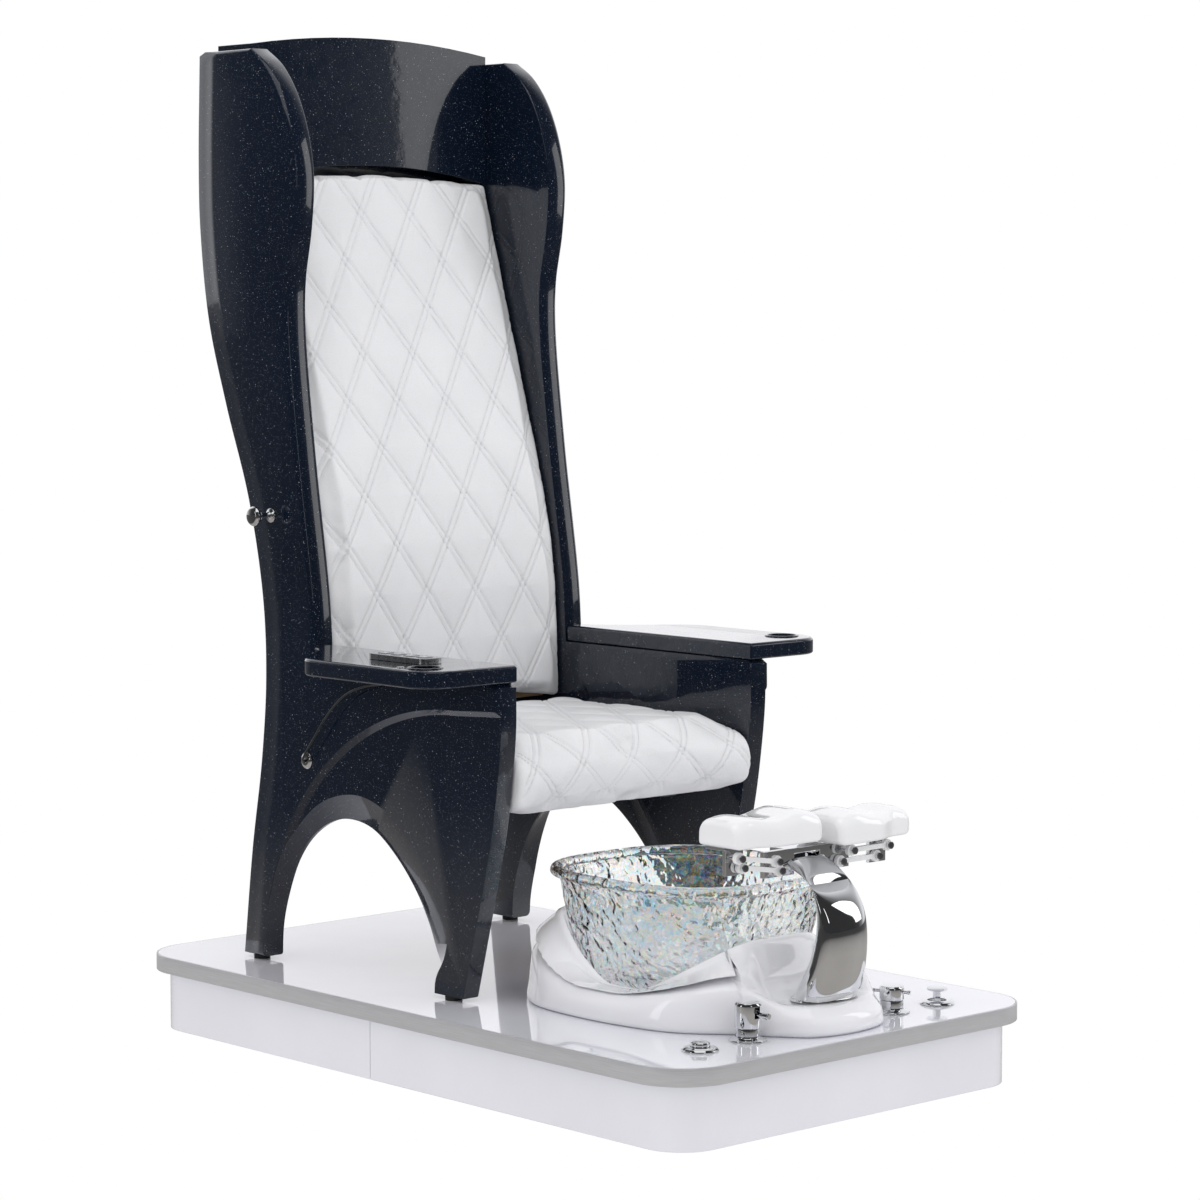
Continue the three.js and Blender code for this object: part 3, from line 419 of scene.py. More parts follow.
def plinth_half(name, end, node_name):
    half_x, half_y = DECK["half_x"] - PLINTH["inset"], DECK["half_y"] - PLINTH["inset"]
    corner = DECK["corner"] - PLINTH["inset"]
    seam = PLINTH["seam_y"] + end * PLINTH["gap"]

    def side(inset):
        whole = rounded_outline(half_x - inset, half_y - inset, corner - inset)
        half = len(whole) // 2
        line = whole[:half] if end > 0 else whole[half:]
        return [(end * (half_x - inset), seam), *line, (-end * (half_x - inset), seam)]

    outer = side(0.0)
    inner = list(reversed(side(PLINTH["wall"])))
    outline = outer + inner
    piece = loft(name, [[(x, y, z) for x, y in outline] for z in (0.0, PLINTH["top"])], plinth_white)
    rounded_edges(piece, 0.0012, 2, 50)
    return dress(piece, "frame", "white_gelcoat", node_name)


plinth_half("plinth_skirt_front", -1, "plinth_front")
plinth_half("plinth_skirt_rear", 1, "plinth_rear")

# Frame, levelling feet and plumbing
# A welded steel ladder frame painted grey, on four screw feet with rubber soles. Two braided supply pipes
# and a plastic waste pipe run back along the floor. None of it shows once the skirts are on.
painted_steel = brushed_metal_material("grey_painted_steel", (0.16, 0.165, 0.175), (0.45, 0.6),
                                       (1, 1, 1), 90.0, 0.25)
black_rubber = rubber_material("black_rubber_sole")
braided_steel = brushed_metal_material("braided_supply_steel", (0.62, 0.63, 0.64), (0.3, 0.5),
                                       (60, 1, 60), 9.0)
waste_plastic = white_gelcoat_material("white_waste_plastic", (0.78, 0.78, 0.76), (0.35, 0.5))
for name, finish in (("deck_frame", painted_steel), ("drain_pipe", waste_plastic),
                     ("hot_supply_pipe", braided_steel), ("cold_supply_pipe", braided_steel),
                     ("seat_ledge_left", painted_steel), ("seat_ledge_right", painted_steel)):
    finish_node(name, finish)
for corner_name in ("front_left", "front_right", "rear_left", "rear_right"):
    finish_node(f"levelling_foot_{corner_name}", black_rubber)
    finish_node(f"chair_glide_{corner_name}", black_rubber)

# Side shells
# Each side of the chair is one hollow fibreglass moulding: leg arch, arm post and tall wing. The outside is
# sprayed with a navy gelcoat full of fine flake. A shallow step follows a big quarter-oval above the arch,
# the arch itself flares outwards, and a flat facet runs down the rear edge.
SHELL = {"inner": 279, "outer": 325, "recess": 10, "arm_top": 557}
REAR_EDGE = [(543, 8), (517, 203), (487, 370), (473, 517), (480, 661), (520, 839), (586, 1010), (636, 1162),
             (660, 1330), (663, 1450), (657, 1640)]
WING_EDGE = [(499, 1647), (456, 1619), (415, 1570), (383, 1500), (367, 1420), (374, 1325), (392, 1235),
             (394, 1150), (369, 934), (329, 670), (321, 557)]
FRONT_EDGE = [(-172, 550), (-172, 480), (-163, 393), (-147, 295), (-116, 173), (-72, 8)]
ARCH_INNER = [(2, -30), (2, 8), (15, 42), (34, 78), (50, 114), (86, 170), (142, 227), (205, 268), (264, 279),
              (316, 271), (375, 239), (421, 190), (455, 120), (472, 60), (476, -30)]
ARCH_OUTER = [(2, -30), (2, 30), (-22, 74), (-30, 120), (-2, 175), (48, 248), (131, 308), (215, 330),
              (313, 308), (388, 250), (430, 186), (458, 110), (474, 40), (476, -30)]
# Rings of the moulding's section: place across the shell, rounding inset, and shift of the rear facet
SHELL_RINGS = [(279, 4, 0), (280.2, 1.2, 0), (283, 0, 0), (315, 0, 0), (319, 0.9, 20), (322, 2.9, 38),
               (324.2, 6, 43), (325, 10, 47)]
SHELL_PEAK, ARM_FRONT = (640, 1647), -160
STEP_OVAL = {"y": -60, "z": 0, "half_y": 521, "half_z": 494, "ramp": 14}


def flat_line(points, count):
    return [(p.x, p.y) for p in smooth_line([(y, z, 0) for y, z in points], count)]


def inset_outline(points, inset):
    """A closed outline moved inwards by one distance; the outline runs anticlockwise."""
    moved = []
    for i, here in enumerate(points):
        before, after = Vector(points[i - 1]), Vector(points[(i + 1) % len(points)])
        here = Vector(here)
        a = (here - before).normalized()
        b = (after - here).normalized()
        side_a, side_b = Vector((-a.y, a.x)), Vector((-b.y, b.x))
        middle = (side_a + side_b).normalized()
        moved.append(tuple(here + middle * (inset / max(0.45, middle.dot(side_a)))))
    return moved


def placed(x, outline):
    return [(x * 0.001, y * 0.001, z * 0.001 + DECK_TOP) for y, z in outline]


def made_plain(piece):
    """Turns a piece's modifiers into plain mesh, and gives the mesh."""
    mesh = bpy.data.meshes.new_from_object(piece.evaluated_get(bpy.context.evaluated_depsgraph_get()))
    piece.modifiers.clear()
    piece.data = mesh
    return mesh


def cut_away(piece, *cutters):
    """The piece less its cutters, as a plain mesh."""
    for cutter in cutters:
        modifier = piece.modifiers.new("cut", "BOOLEAN")
        modifier.operation = "DIFFERENCE"
        modifier.solver = "EXACT"
        modifier.object = cutter
    made_plain(piece)
    for cutter in cutters:
        bpy.data.objects.remove(cutter)
    return piece


def navy_sparkle_material():
    material, shader, node, place = graph("navy_sparkle_gelcoat")
    cloud = grain_of(node, place, 3.0, 3.0)
    colour = ramp(node, cloud, [(0.3, (0.0026, 0.0055, 0.0130)), (0.7, (0.0038, 0.0080, 0.0185))])
    # Coarse and fine flake: a dot near the middle of some cells, in white, blue or gold
    for scale, radius, share, strength in ((210.0, 0.17, 0.62, 0.55), (420.0, 0.26, 0.45, 0.16)):
        cells = node("ShaderNodeTexVoronoi", {"Vector": place, "Scale": scale}, feature="F1")
        luck = node("ShaderNodeTexWhiteNoise", {"Vector": cells.outputs["Position"]}, noise_dimensions="3D")
        dot = ramp(node, cells.outputs["Distance"], [(radius * 0.55, 1.0), (radius, 0.0)])
        lit = ramp(node, luck.outputs["Value"], [(share - 0.02, 0.0), (share, 0.12), (1.0, 1.0)])
        amount = node("ShaderNodeMath", {0: dot, 1: lit}, operation="MULTIPLY").outputs[0]
        amount = node("ShaderNodeMath", {0: amount, 1: strength}, operation="MULTIPLY").outputs[0]
        hue = ramp(node, node("ShaderNodeSeparateColor", {"Color": luck.outputs["Color"]}).outputs[1],
                   [(0.0, (0.62, 0.80, 1.0)), (0.45, (0.90, 0.95, 1.0)), (0.8, (1.0, 0.93, 0.78)),
                    (1.0, (0.45, 0.62, 1.0))])
        blend = node("ShaderNodeMix", {"Factor": amount, 6: colour, 7: hue}, data_type="RGBA")
        colour = blend.outputs[2]
    link(shader.inputs["Base Color"], colour)
    scuff = grain_of(node, place, 35.0, 7.0)
    link(shader.inputs["Roughness"], ramp(node, scuff, [(0.35, 0.14), (0.75, 0.24)]))
    shader.inputs["Specular IOR Level"].default_value = 0.2
    shader.inputs["Coat Weight"].default_value = 1.0
    shader.inputs["Coat Roughness"].default_value = 0.035
    peel = grain_of(node, place, 42.0, 2.0)
    bump = node("ShaderNodeBump", {"Height": peel, "Strength": 0.06, "Distance": 0.0008})
    link(shader.inputs["Normal"], bump.outputs["Normal"])
    link(shader.inputs["Coat Normal"], bump.outputs["Normal"])
    return material


navy_sparkle = navy_sparkle_material()


def shell_ring(x, inset, shift):
    rear = flat_line(REAR_EDGE, 110)
    top = [SHELL_PEAK]
    wing = flat_line(WING_EDGE, 96)
    front = flat_line(FRONT_EDGE, 40)
    outline = inset_outline([*rear, *top, *wing, (ARM_FRONT, SHELL["arm_top"]), *front], inset)
    facet = len(rear) + len(top)
    return placed(x, [(y - shift, z) if i < facet else (y, z) for i, (y, z) in enumerate(outline)])


def arch_cutter(name):
    inner, outer = flat_line(ARCH_INNER, 110), flat_line(ARCH_OUTER, 110)
    slope = SHELL["outer"] - SHELL["recess"] - SHELL["inner"]
    reach = 1 + 12 / slope
    beyond = [(a + (c - a) * reach, b + (d - b) * reach) for (a, b), (c, d) in zip(inner, outer)]
    stations = [(SHELL["inner"] - 5, inner), (SHELL["inner"] + 6, inner), (SHELL["inner"] + slope, outer),
                (SHELL["outer"] + 2, beyond)]
    return loft(name, [placed(x, outline) for x, outline in stations], navy_sparkle)


def step_cutter(name):
    def ring(grow, x):
        points = []
        for i in range(73):
            turn = math.pi / 2 * i / 72
            points.append((STEP_OVAL["y"] + (STEP_OVAL["half_y"] + grow) * math.cos(turn),
                           STEP_OVAL["z"] + (STEP_OVAL["half_z"] + grow) * math.sin(turn)))
        points += [(-260, STEP_OVAL["half_z"] + grow + 12), (-260, -30)]
        return placed(x, points)

    low, high = ring(0, SHELL["outer"] - SHELL["recess"]), ring(STEP_OVAL["ramp"], SHELL["outer"] + 4)
    return loft(name, [low, high], navy_sparkle)


def side_moulding(name):
    body = loft(name, [shell_ring(*ring) for ring in SHELL_RINGS], navy_sparkle)
    return cut_away(body, arch_cutter("arch_tool"), step_cutter("step_tool"))


def mirrored_piece(source, name):
    mesh = source.data.copy()
    mesh.transform(Matrix.Scale(-1, 4, (1, 0, 0)))
    body = bmesh.new()
    body.from_mesh(mesh)
    bmesh.ops.recalc_face_normals(body, faces=body.faces)
    body.to_mesh(mesh)
    body.free()
    return linked(name, mesh)


CABLE_HOLE = {"y": 341, "z": 381, "radius": 4}
right_moulding = side_moulding("right_side_moulding")
left_moulding = mirrored_piece(right_moulding, "left_side_moulding")
hole_tool = loft("cable_hole_tool", [placed(x, [
    (CABLE_HOLE["y"] + CABLE_HOLE["radius"] * math.cos(k * math.pi / 10),
     CABLE_HOLE["z"] + CABLE_HOLE["radius"] * math.sin(k * math.pi / 10)) for k in range(20)])
    for x in (-SHELL["outer"] - 3, -SHELL["inner"] + 3)], navy_sparkle)
cut_away(left_moulding, hole_tool)
for moulding, side in ((right_moulding, "right"), (left_moulding, "left")):
    smooth_shade(moulding, 24)
    rounded_edges(moulding, 0.0022, 3, 24)
    dress(moulding, "frame", "navy_sparkle_gelcoat", f"{side}_side_shell")

# Back shell
# One curved fibreglass panel in the same gelcoat closes the back between the wings. Its head ends in a thick
# header with an arched top, and the cushion sits in the recess below it.


def node_copy(name, node_name, material, sharp=28.0):
    """A CAD node's shape as a new piece, with its triangles merged into flat faces."""
    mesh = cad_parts[node_name].data.copy()
    body = bmesh.new()
    body.from_mesh(mesh)
    bmesh.ops.remove_doubles(body, verts=body.verts, dist=1e-5)
    bmesh.ops.dissolve_limit(body, angle_limit=math.radians(0.8), verts=body.verts, edges=body.edges)
    bmesh.ops.recalc_face_normals(body, faces=body.faces)
    body.to_mesh(mesh)
    body.free()
    mesh.materials.clear()
    mesh.materials.append(material)
    piece = linked(name, mesh)
    smooth_shade(piece, sharp)
    return piece


back_moulding = rounded_edges(node_copy("back_moulding", "back_shell", navy_sparkle, 24), 0.0035, 3, 24)
dress(back_moulding, "frame", "navy_sparkle_gelcoat", "back_shell")

# Arm trays
# Wide solid caps in gelcoat, glued over the arm posts. They run out past the shells to carry a cup in a
# turned recess with a rolled lip. The left one also carries the keypad and the call button.
for side, sign in (("left", -1), ("right", 1)):
    tray = rounded_edges(node_copy(f"{side}_tray_cap", f"{side}_arm_tray", navy_sparkle, 24), 0.004, 4, 40)
    dress(tray, "frame", "navy_sparkle_gelcoat", f"{side}_arm_tray")


def lathe(name, profile, material, place=(0, 0, 0), sides=64, axis=None, sharp=32.0, closed=False):
    """A turned piece from (radius, height) pairs in millimetres about +Z, or about another axis."""
    turn = Vector((0, 0, 1)).rotation_difference(Vector(axis)).to_matrix() if axis else Matrix.Identity(3)
    rings = []
    for radius, height in profile:
        rings.append([tuple(turn @ Vector((radius * 0.001 * math.cos(2 * math.pi * k / sides),
                                           radius * 0.001 * math.sin(2 * math.pi * k / sides),
                                           height * 0.001)) + Vector(place)) for k in range(sides)])
    count = len(rings)
    faces = []
    for r in range(count if closed else count - 1):
        low, high = r * sides, ((r + 1) % count) * sides
        for i in range(sides):
            faces.append((low + i, low + (i + 1) % sides, high + (i + 1) % sides, high + i))
    if not closed:
        faces.append(tuple(range(sides)))
        faces.append(tuple(range((count - 1) * sides, count * sides)))
    piece = mesh_object(name, [p for ring in rings for p in ring], faces, material)
    smooth_shade(piece, sharp)
    return piece


def softened(profile, radius=0.8, steps=3):
    """A turned profile with every inner corner rounded a little."""
    points = [Vector(p) for p in profile]
    made = [points[0]]
    for before, here, after in zip(points, points[1:], points[2:]):
        reach = min(radius, (before - here).length * 0.45, (after - here).length * 0.45)
        start = here + (before - here).normalized() * reach
        end = here + (after - here).normalized() * reach
        for k in range(steps + 1):
            u = k / steps
            made.append(start * (1 - u) ** 2 + here * (2 * u * (1 - u)) + end * u * u)
    made.append(points[-1])
    return [tuple(p) for p in made]


CUP = {"x": 0.425, "y": -0.105}
TRAY_TOP = DECK_TOP + 0.587
cup_lip = [(28.4 + 3.1 * math.cos(a * math.pi / 8), 0.2 + 2.2 * math.sin(a * math.pi / 8)) for a in range(16)]
for side, sign in (("left", -1), ("right", 1)):
    lip = lathe(f"{side}_cup_lip", cup_lip, navy_sparkle, (sign * CUP["x"], CUP["y"], TRAY_TOP), closed=True)
    dress(lip, "frame", "navy_sparkle_gelcoat")

# Purse hook and cable grommet
# A chromed mushroom hook screwed to the left shell, and a chromed disc that lines the cable's hole.


def chrome_material():
    material, shader, node, place = graph("polished_chrome")
    tone = (0.80, 0.81, 0.82)
    smear = grain_of(node, place, 30.0, 6.0)
    hair = grain_of(node, place, 900.0, 2.0)
    dim = tuple(v * 0.95 for v in tone)
    link(shader.inputs["Base Color"], ramp(node, smear, [(0.3, dim), (0.7, tone)]))
    link(shader.inputs["Roughness"], ramp(node, smear, [(0.4, 0.02), (0.8, 0.07)]))
    shader.inputs["Metallic"].default_value = 1.0
    raise_by(node, shader, hair, 0.02, 0.0002)
    return material


chrome = chrome_material()


def chromed(name, profile, soft, place, body, *nodes, steps=3, **shape):
    """A turned chrome piece with softened corners."""
    piece = lathe(name, softened(profile, soft, steps), chrome, place, **shape)
    return dress(piece, body, "chrome", *nodes)


HOOK = [(0, 0), (13, 0), (13, 3.2), (7, 6), (5, 12), (5, 26), (12, 30), (17.6, 37), (17.8, 41), (14, 46),
        (0, 48)]
HOOK_PLACE = {"y": 0.440, "z": 0.814}
shell_face = -(SHELL["outer"] + 0.3) * 0.001
chromed("purse_hook_mushroom", HOOK, 1.6, (shell_face, HOOK_PLACE["y"], DECK_TOP + HOOK_PLACE["z"]),
        "frame", "purse_hook", steps=4, axis=(-1, 0, 0))
GROMMET = [(3.2, 0), (15, 0), (15, 2.2), (13, 4), (9, 5.5), (4, 5.5), (3.2, 5)]
grommet_place = (shell_face, CABLE_HOLE["y"] * 0.001, DECK_TOP + CABLE_HOLE["z"] * 0.001)
chromed("cable_grommet_disc", GROMMET, 0.6, grommet_place, "frame", "cable_grommet", axis=(-1, 0, 0),
        closed=True)

# Keypad and call button
# A thin silver housing glued to the left tray, with four square membrane keys in pockets and a raised mark
# on each. A small chrome button sits in the tray's top, near its outer edge.
keypad_silver = brushed_metal_material("keypad_silver_paint", (0.56, 0.57, 0.585), (0.22, 0.34),
                                       (1, 1, 1), 260.0)
key_plastic = white_gelcoat_material("key_grey_plastic", (0.19, 0.195, 0.21), (0.22, 0.34))
mark_paint = white_gelcoat_material("key_mark_paint", (0.80, 0.82, 0.84), (0.25, 0.4))
housing = rounded_edges(node_copy("keypad_case", "keypad_housing", keypad_silver), 0.0016, 3, 50)
dress(housing, "frame", "keypad_silver", "keypad_housing")
KEY_X, KEY_Y = -0.374, (-0.043, -0.009, 0.025, 0.059)
KEY_MARKS = {1: [(-4, -3), (4, -3), (0, 4)], 2: [(-4, 3), (0, -4), (4, 3)],
             3: [(-4, -1.2), (4, -1.2), (4, 1.2), (-4, 1.2)],
             4: [(4 * math.cos(a * math.pi / 10), 4 * math.sin(a * math.pi / 10)) for a in range(20)]}
for number, key_y in enumerate(KEY_Y, 1):
    cap = rounded_edges(node_copy(f"key_cap_{number}", f"keypad_key_{number}", key_plastic), 0.0006, 2, 50)
    dress(cap, f"keypad_key_{number}", "key_plastic", f"keypad_key_{number}")
    key_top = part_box(f"keypad_key_{number}")[1].z
    mark = loft(f"key_mark_{number}", [[(KEY_X + x * 0.001, key_y + y * 0.001, z) for x, y in
                                        KEY_MARKS[number]] for z in (key_top - 0.0001, key_top + 0.0003)],
                mark_paint)
    dress(mark, f"keypad_key_{number}", "key_plastic")
BUTTON = {"x": -0.449, "y": -0.070}
chromed("call_button_cap", [(0, -8), (6.4, -8), (6.4, 1.2), (5, 2), (0, 2)], 0.6,
        (BUTTON["x"], BUTTON["y"], TRAY_TOP), "call_button", "call_button")

# Seat structure
# A steel ledge along each side shell carries a plywood pan; a plywood board holds the back cushion.


def plywood_material():
    material, shader, node, place = graph("birch_plywood")
    stretched = node("ShaderNodeMapping", {"Vector": place, "Scale": (1.0, 12.0, 12.0)}).outputs["Vector"]
    grain = grain_of(node, stretched, 14.0, 8.0)
    wood = ramp(node, grain, [(0.3, (0.20, 0.12, 0.06)), (0.7, (0.42, 0.29, 0.17))])
    link(shader.inputs["Base Color"], wood)
    link(shader.inputs["Roughness"], ramp(node, grain, [(0.3, 0.6), (0.7, 0.8)]))
    raise_by(node, shader, grain, 0.2, 0.0006)
    return material


plywood = plywood_material()
for name in ("seat_pan", "back_board"):
    finish_node(name, plywood)

# Seat cushion and back cushion
# Foam slabs upholstered in white leather, quilted in long diamonds with two rows of stitching on every
# line. The seat's quilting runs over its front roll. Each cover is sewn, filled and pulled tight on its
# board.
SEAT = {"half": 0.2765, "rear": 366, "floor": 326}
SEAT_ROLL = [(-145, 326), (-176, 336), (-190, 368), (-185, 405), (-160, 432), (-100, 446), (60, 449),
             (240, 445), (324, 440)]
BACK_FACE = [(326, 449), (330, 560), (338, 690), (362, 820), (417, 1010), (482, 1225), (548, 1450)]
BACK_THICK = 60
BACK_TOP = {"corner": 1417, "crest": 1446}
# Room for each cover in metres above the deck, and where the quilt's diamonds start along it
SEAT_ROOM = {"front": -0.200, "rear": 0.365, "low": 0.3265, "high": 0.458, "tuck": 0.318, "tuck_high": 0.446}
BACK_ROOM = {"foot": 0.449, "low": 0.4495}
QUILT_START = {"seat": 0.06, "back": 0.099}
COVER = {"voxel": 0.006, "pressure": 4.0, "frames": 20, "tacked": 0.040}
QUILT = {"wide": 0.117, "tall": 0.178, "twin": 0.0056, "groove": 0.0024, "line": 0.0015, "crown": 0.0022,
         "reach": 0.020, "edge": 0.012}


def leather_material():
    material, shader, node, place = graph("white_leather")
    cloud = grain_of(node, place, 9.0, 5.0)
    pores = node("ShaderNodeTexVoronoi", {"Vector": place, "Scale": 620.0}, feature="F1").outputs["Distance"]
    creases = node("ShaderNodeTexVoronoi", {"Vector": place, "Scale": 340.0, "Randomness": 1.0},
                   feature="DISTANCE_TO_EDGE").outputs["Distance"]
    crease_line = ramp(node, creases, [(0.0, 0.0), (0.12, 1.0)])
    wrinkle = grain_of(node, place, 55.0, 6.0, Distortion=0.6)
    tint = ramp(node, cloud, [(0.3, (0.70, 0.705, 0.725)), (0.55, (0.73, 0.735, 0.755)),
                              (0.8, (0.75, 0.755, 0.775))])
    # Painted shade: the leather's colour is multiplied a little darker along the grain's creases, where shade
    # falls in them.
    crease_shade_tint = node("ShaderNodeMix", {"Factor": 0.06, 6: tint, 7: crease_line}, data_type="RGBA",
                blend_type="MULTIPLY").outputs[2]
    link(shader.inputs["Base Color"], crease_shade_tint)
    link(shader.inputs["Roughness"], ramp(node, pores, [(0.1, 0.50), (0.7, 0.38)]))
    shader.inputs["Specular IOR Level"].default_value = 0.45
    shader.inputs["Sheen Weight"].default_value = 0.12
    shader.inputs["Sheen Roughness"].default_value = 0.5
    fine = node("ShaderNodeBump", {"Height": crease_line, "Strength": 0.16, "Distance": 0.0004})
    deep = node("ShaderNodeBump", {"Height": wrinkle, "Strength": 0.22, "Distance": 0.0012,
                                   "Normal": fine.outputs["Normal"]})
    link(shader.inputs["Normal"], deep.outputs["Normal"])
    return material


white_leather = leather_material()


def resampled(points, step):
    line = [Vector((y, z, 0)) for y, z in points]
    length = sum((q - p).length for p, q in zip(line, line[1:]))
    return flat_line(points, max(4, int(length / step)))


def read_vertices(mesh, kind="co"):
    values = np.empty(len(mesh.vertices) * 3, np.float32)
    mesh.vertices.foreach_get(kind, values)
    return values.reshape(-1, 3)


def stuffed(name, rings, limit, cap):
    """A sewn cover blown up tight: remeshed evenly, filled by a short cloth run, held inside its limits."""
    rough = loft(name, rings, white_leather)
    skin = rough.modifiers.new("skin", "REMESH")
    skin.mode = "VOXEL"
    skin.voxel_size = COVER["voxel"]
    even = made_plain(rough)
    start = read_vertices(even)
    filling = rough.modifiers.new("filling", "CLOTH")
    filling.settings.quality = 4
    filling.settings.mass = 0.3
    filling.settings.tension_stiffness = 18
    filling.settings.compression_stiffness = 18
    filling.settings.shear_stiffness = 8
    filling.settings.bending_stiffness = 1.2
    filling.settings.use_pressure = True
    filling.settings.uniform_pressure_force = COVER["pressure"]
    filling.settings.effector_weights.gravity = 0
    filling.point_cache.frame_start = 1
    filling.point_cache.frame_end = COVER["frames"]
    for step in range(1, COVER["frames"] + 1):
        scene.frame_set(step)
    moved = read_vertices(rough.evaluated_get(bpy.context.evaluated_depsgraph_get()).data) - start
    far = np.linalg.norm(moved, axis=1, keepdims=True)
    moved *= np.minimum(1.0, cap / np.maximum(far, 1e-9))
    rough.modifiers.clear()
    scene.frame_set(1)
    # The cover is stapled down along its edges, so only its middle swells
    inward = SEAT["half"] - 0.004 - np.abs(start[:, :1])
    start = start + moved * np.clip(inward / COVER["tacked"], 0.0, 1.0)
    start = limit(start)
    even.vertices.foreach_set("co", start.reshape(-1))
    even.update()
    finer = rough.modifiers.new("finer", "SUBSURF")
    finer.levels = finer.render_levels = 1
    smooth = made_plain(rough)
    smooth.materials.clear()
    smooth.materials.append(white_leather)
    smooth.shade_smooth()
    return rough


def run_lengths(line):
    line = np.array(line, np.float64)
    steps = np.linalg.norm(np.diff(line, axis=0), axis=1)
    return line, np.concatenate([[0.0], np.cumsum(steps)])


def along(line, run, y, z):
    """For each point: its run along a profile line, and its distance in front of the line."""
    best = np.full(len(y), 1e9)
    run_at = np.zeros(len(y))
    front = np.zeros(len(y))
    for i in range(len(line) - 1):
        d = line[i + 1] - line[i]
        size = np.linalg.norm(d)
        d = d / size
        t = np.clip((y - line[i][0]) * d[0] + (z - line[i][1]) * d[1], 0, size)
        dy, dz = y - (line[i][0] + d[0] * t), z - (line[i][1] + d[1] * t)
        far = dy * dy + dz * dz
        better = far < best
        best = np.where(better, far, best)
        run_at = np.where(better, run[i] + t, run_at)
        front = np.where(better, d[1] * dy - d[0] * dz, front)
    return run_at, front, np.sqrt(best)


PITCH = 1.0 / math.hypot(1.0 / QUILT["wide"], 1.0 / QUILT["tall"])


def quilt(piece, line, run, origin, facing):
    """Sinks twin sewn channels along every diamond line and crowns the leather between them."""
    mesh = piece.data
    count = len(mesh.vertices)
    co, normal = read_vertices(mesh), read_vertices(mesh, "normal")
    run_at, _, far = along(line, run, co[:, 1].astype(np.float64), co[:, 2].astype(np.float64))
    s = run_at - origin
    depth = np.zeros(count)
    nearest = np.full(count, 1e9)
    for sign in (1, -1):
        k = co[:, 0] / QUILT["wide"] + sign * s / QUILT["tall"] + 0.5
        off = np.abs(k - np.round(k)) * PITCH
        nearest = np.minimum(nearest, off)
        depth -= QUILT["groove"] * np.exp(-(((off - QUILT["twin"]) / QUILT["line"]) ** 2))
        depth -= 0.0006 * np.exp(-((off / 0.009) ** 2))
    depth += QUILT["crown"] * (1 - np.exp(-((np.maximum(0, nearest - QUILT["twin"]) / QUILT["reach"]) ** 2)))
    side = np.clip((SEAT["half"] - np.abs(co[:, 0])) / QUILT["edge"], 0, 1)
    on_face = np.clip((0.030 - far) / 0.012, 0, 1) * np.clip(facing(normal) * 3.0, 0, 1)
    ends = np.clip(run_at / 0.03, 0, 1) * np.clip((run[-1] - run_at) / 0.02, 0, 1)
    co = co + normal * (depth * side * on_face * ends)[:, None].astype(np.float32)
    mesh.vertices.foreach_set("co", co.reshape(-1))
    mesh.update()


def stitch_tree():
    """Geometry Nodes: runs of edges become rows of short stitches, laid along the run."""
    tree = bpy.data.node_groups.new("stitch_row", "GeometryNodeTree")
    face = tree.interface
    for label, kind in (("Geometry", "Geometry"), ("Spacing", "Float"), ("Stitch Length", "Float"),
                        ("Thread Radius", "Float"), ("Thread", "Material")):
        face.new_socket(label, in_out="INPUT", socket_type=f"NodeSocket{kind}")
    face.new_socket("Geometry", in_out="OUTPUT", socket_type="NodeSocketGeometry")
    new, join = tree.nodes.new, tree.links.new
    source, result = new("NodeGroupInput"), new("NodeGroupOutput")
    line = new("GeometryNodeMeshToCurve")
    rows = new("GeometryNodeResampleCurve")
    rows.mode = "LENGTH"
    grain = new("GeometryNodeMeshIcoSphere")
    grain.inputs["Radius"].default_value = 1.0
    grain.inputs["Subdivisions"].default_value = 1
    place = new("GeometryNodeInstanceOnPoints")
    turn = new("FunctionNodeAlignRotationToVector")
    turn.axis = "Z"
    tangent = new("GeometryNodeInputTangent")
    half = new("ShaderNodeMath")
    half.operation = "MULTIPLY"
    half.inputs[1].default_value = 0.5
    size = new("ShaderNodeCombineXYZ")
    real = new("GeometryNodeRealizeInstances")
    paint = new("GeometryNodeSetMaterial")
    join(source.outputs["Geometry"], line.inputs["Mesh"])
    join(line.outputs["Curve"], rows.inputs["Curve"])
    join(source.outputs["Spacing"], rows.inputs["Length"])
    join(rows.outputs["Curve"], place.inputs["Points"])
    join(grain.outputs["Mesh"], place.inputs["Instance"])
    join(tangent.outputs["Tangent"], turn.inputs["Vector"])
    join(turn.outputs["Rotation"], place.inputs["Rotation"])
    join(source.outputs["Stitch Length"], half.inputs[0])
    join(source.outputs["Thread Radius"], size.inputs["X"])
    join(source.outputs["Thread Radius"], size.inputs["Y"])
    join(half.outputs[0], size.inputs["Z"])
    join(size.outputs[0], place.inputs["Scale"])
    join(place.outputs["Instances"], real.inputs["Geometry"])
    join(real.outputs["Geometry"], paint.inputs["Geometry"])
    join(source.outputs["Thread"], paint.inputs["Material"])
    join(paint.outputs["Geometry"], result.inputs["Geometry"])
    return tree


def thread_material():
    material, shader, node, place = graph("white_polyester_thread")
    twist = grain_of(node, place, 700.0, 2.0)
    tint = ramp(node, twist, [(0.3, (0.60, 0.61, 0.64)), (0.7, (0.74, 0.75, 0.78))])
    link(shader.inputs["Base Color"], tint)
    link(shader.inputs["Roughness"], ramp(node, twist, [(0.3, 0.55), (0.7, 0.7)]))
    return material


stitch_rows = stitch_tree()
thread = thread_material()
STITCH = {"Spacing": 0.0062, "Stitch Length": 0.0046, "Thread Radius": 0.00062}


def through_nodes(name, tree, mesh, inputs):
    """The plain mesh that a node tree makes of a source mesh."""
    holder = linked(name, mesh)
    modifier = holder.modifiers.new("nodes", "NODES")
    modifier.node_group = tree
    for item in tree.interface.items_tree:
        if item.item_type == "SOCKET" and item.in_out == "INPUT" and item.name in inputs:
            modifier[item.identifier] = inputs[item.name]
    made_plain(holder).shade_smooth()
    return holder


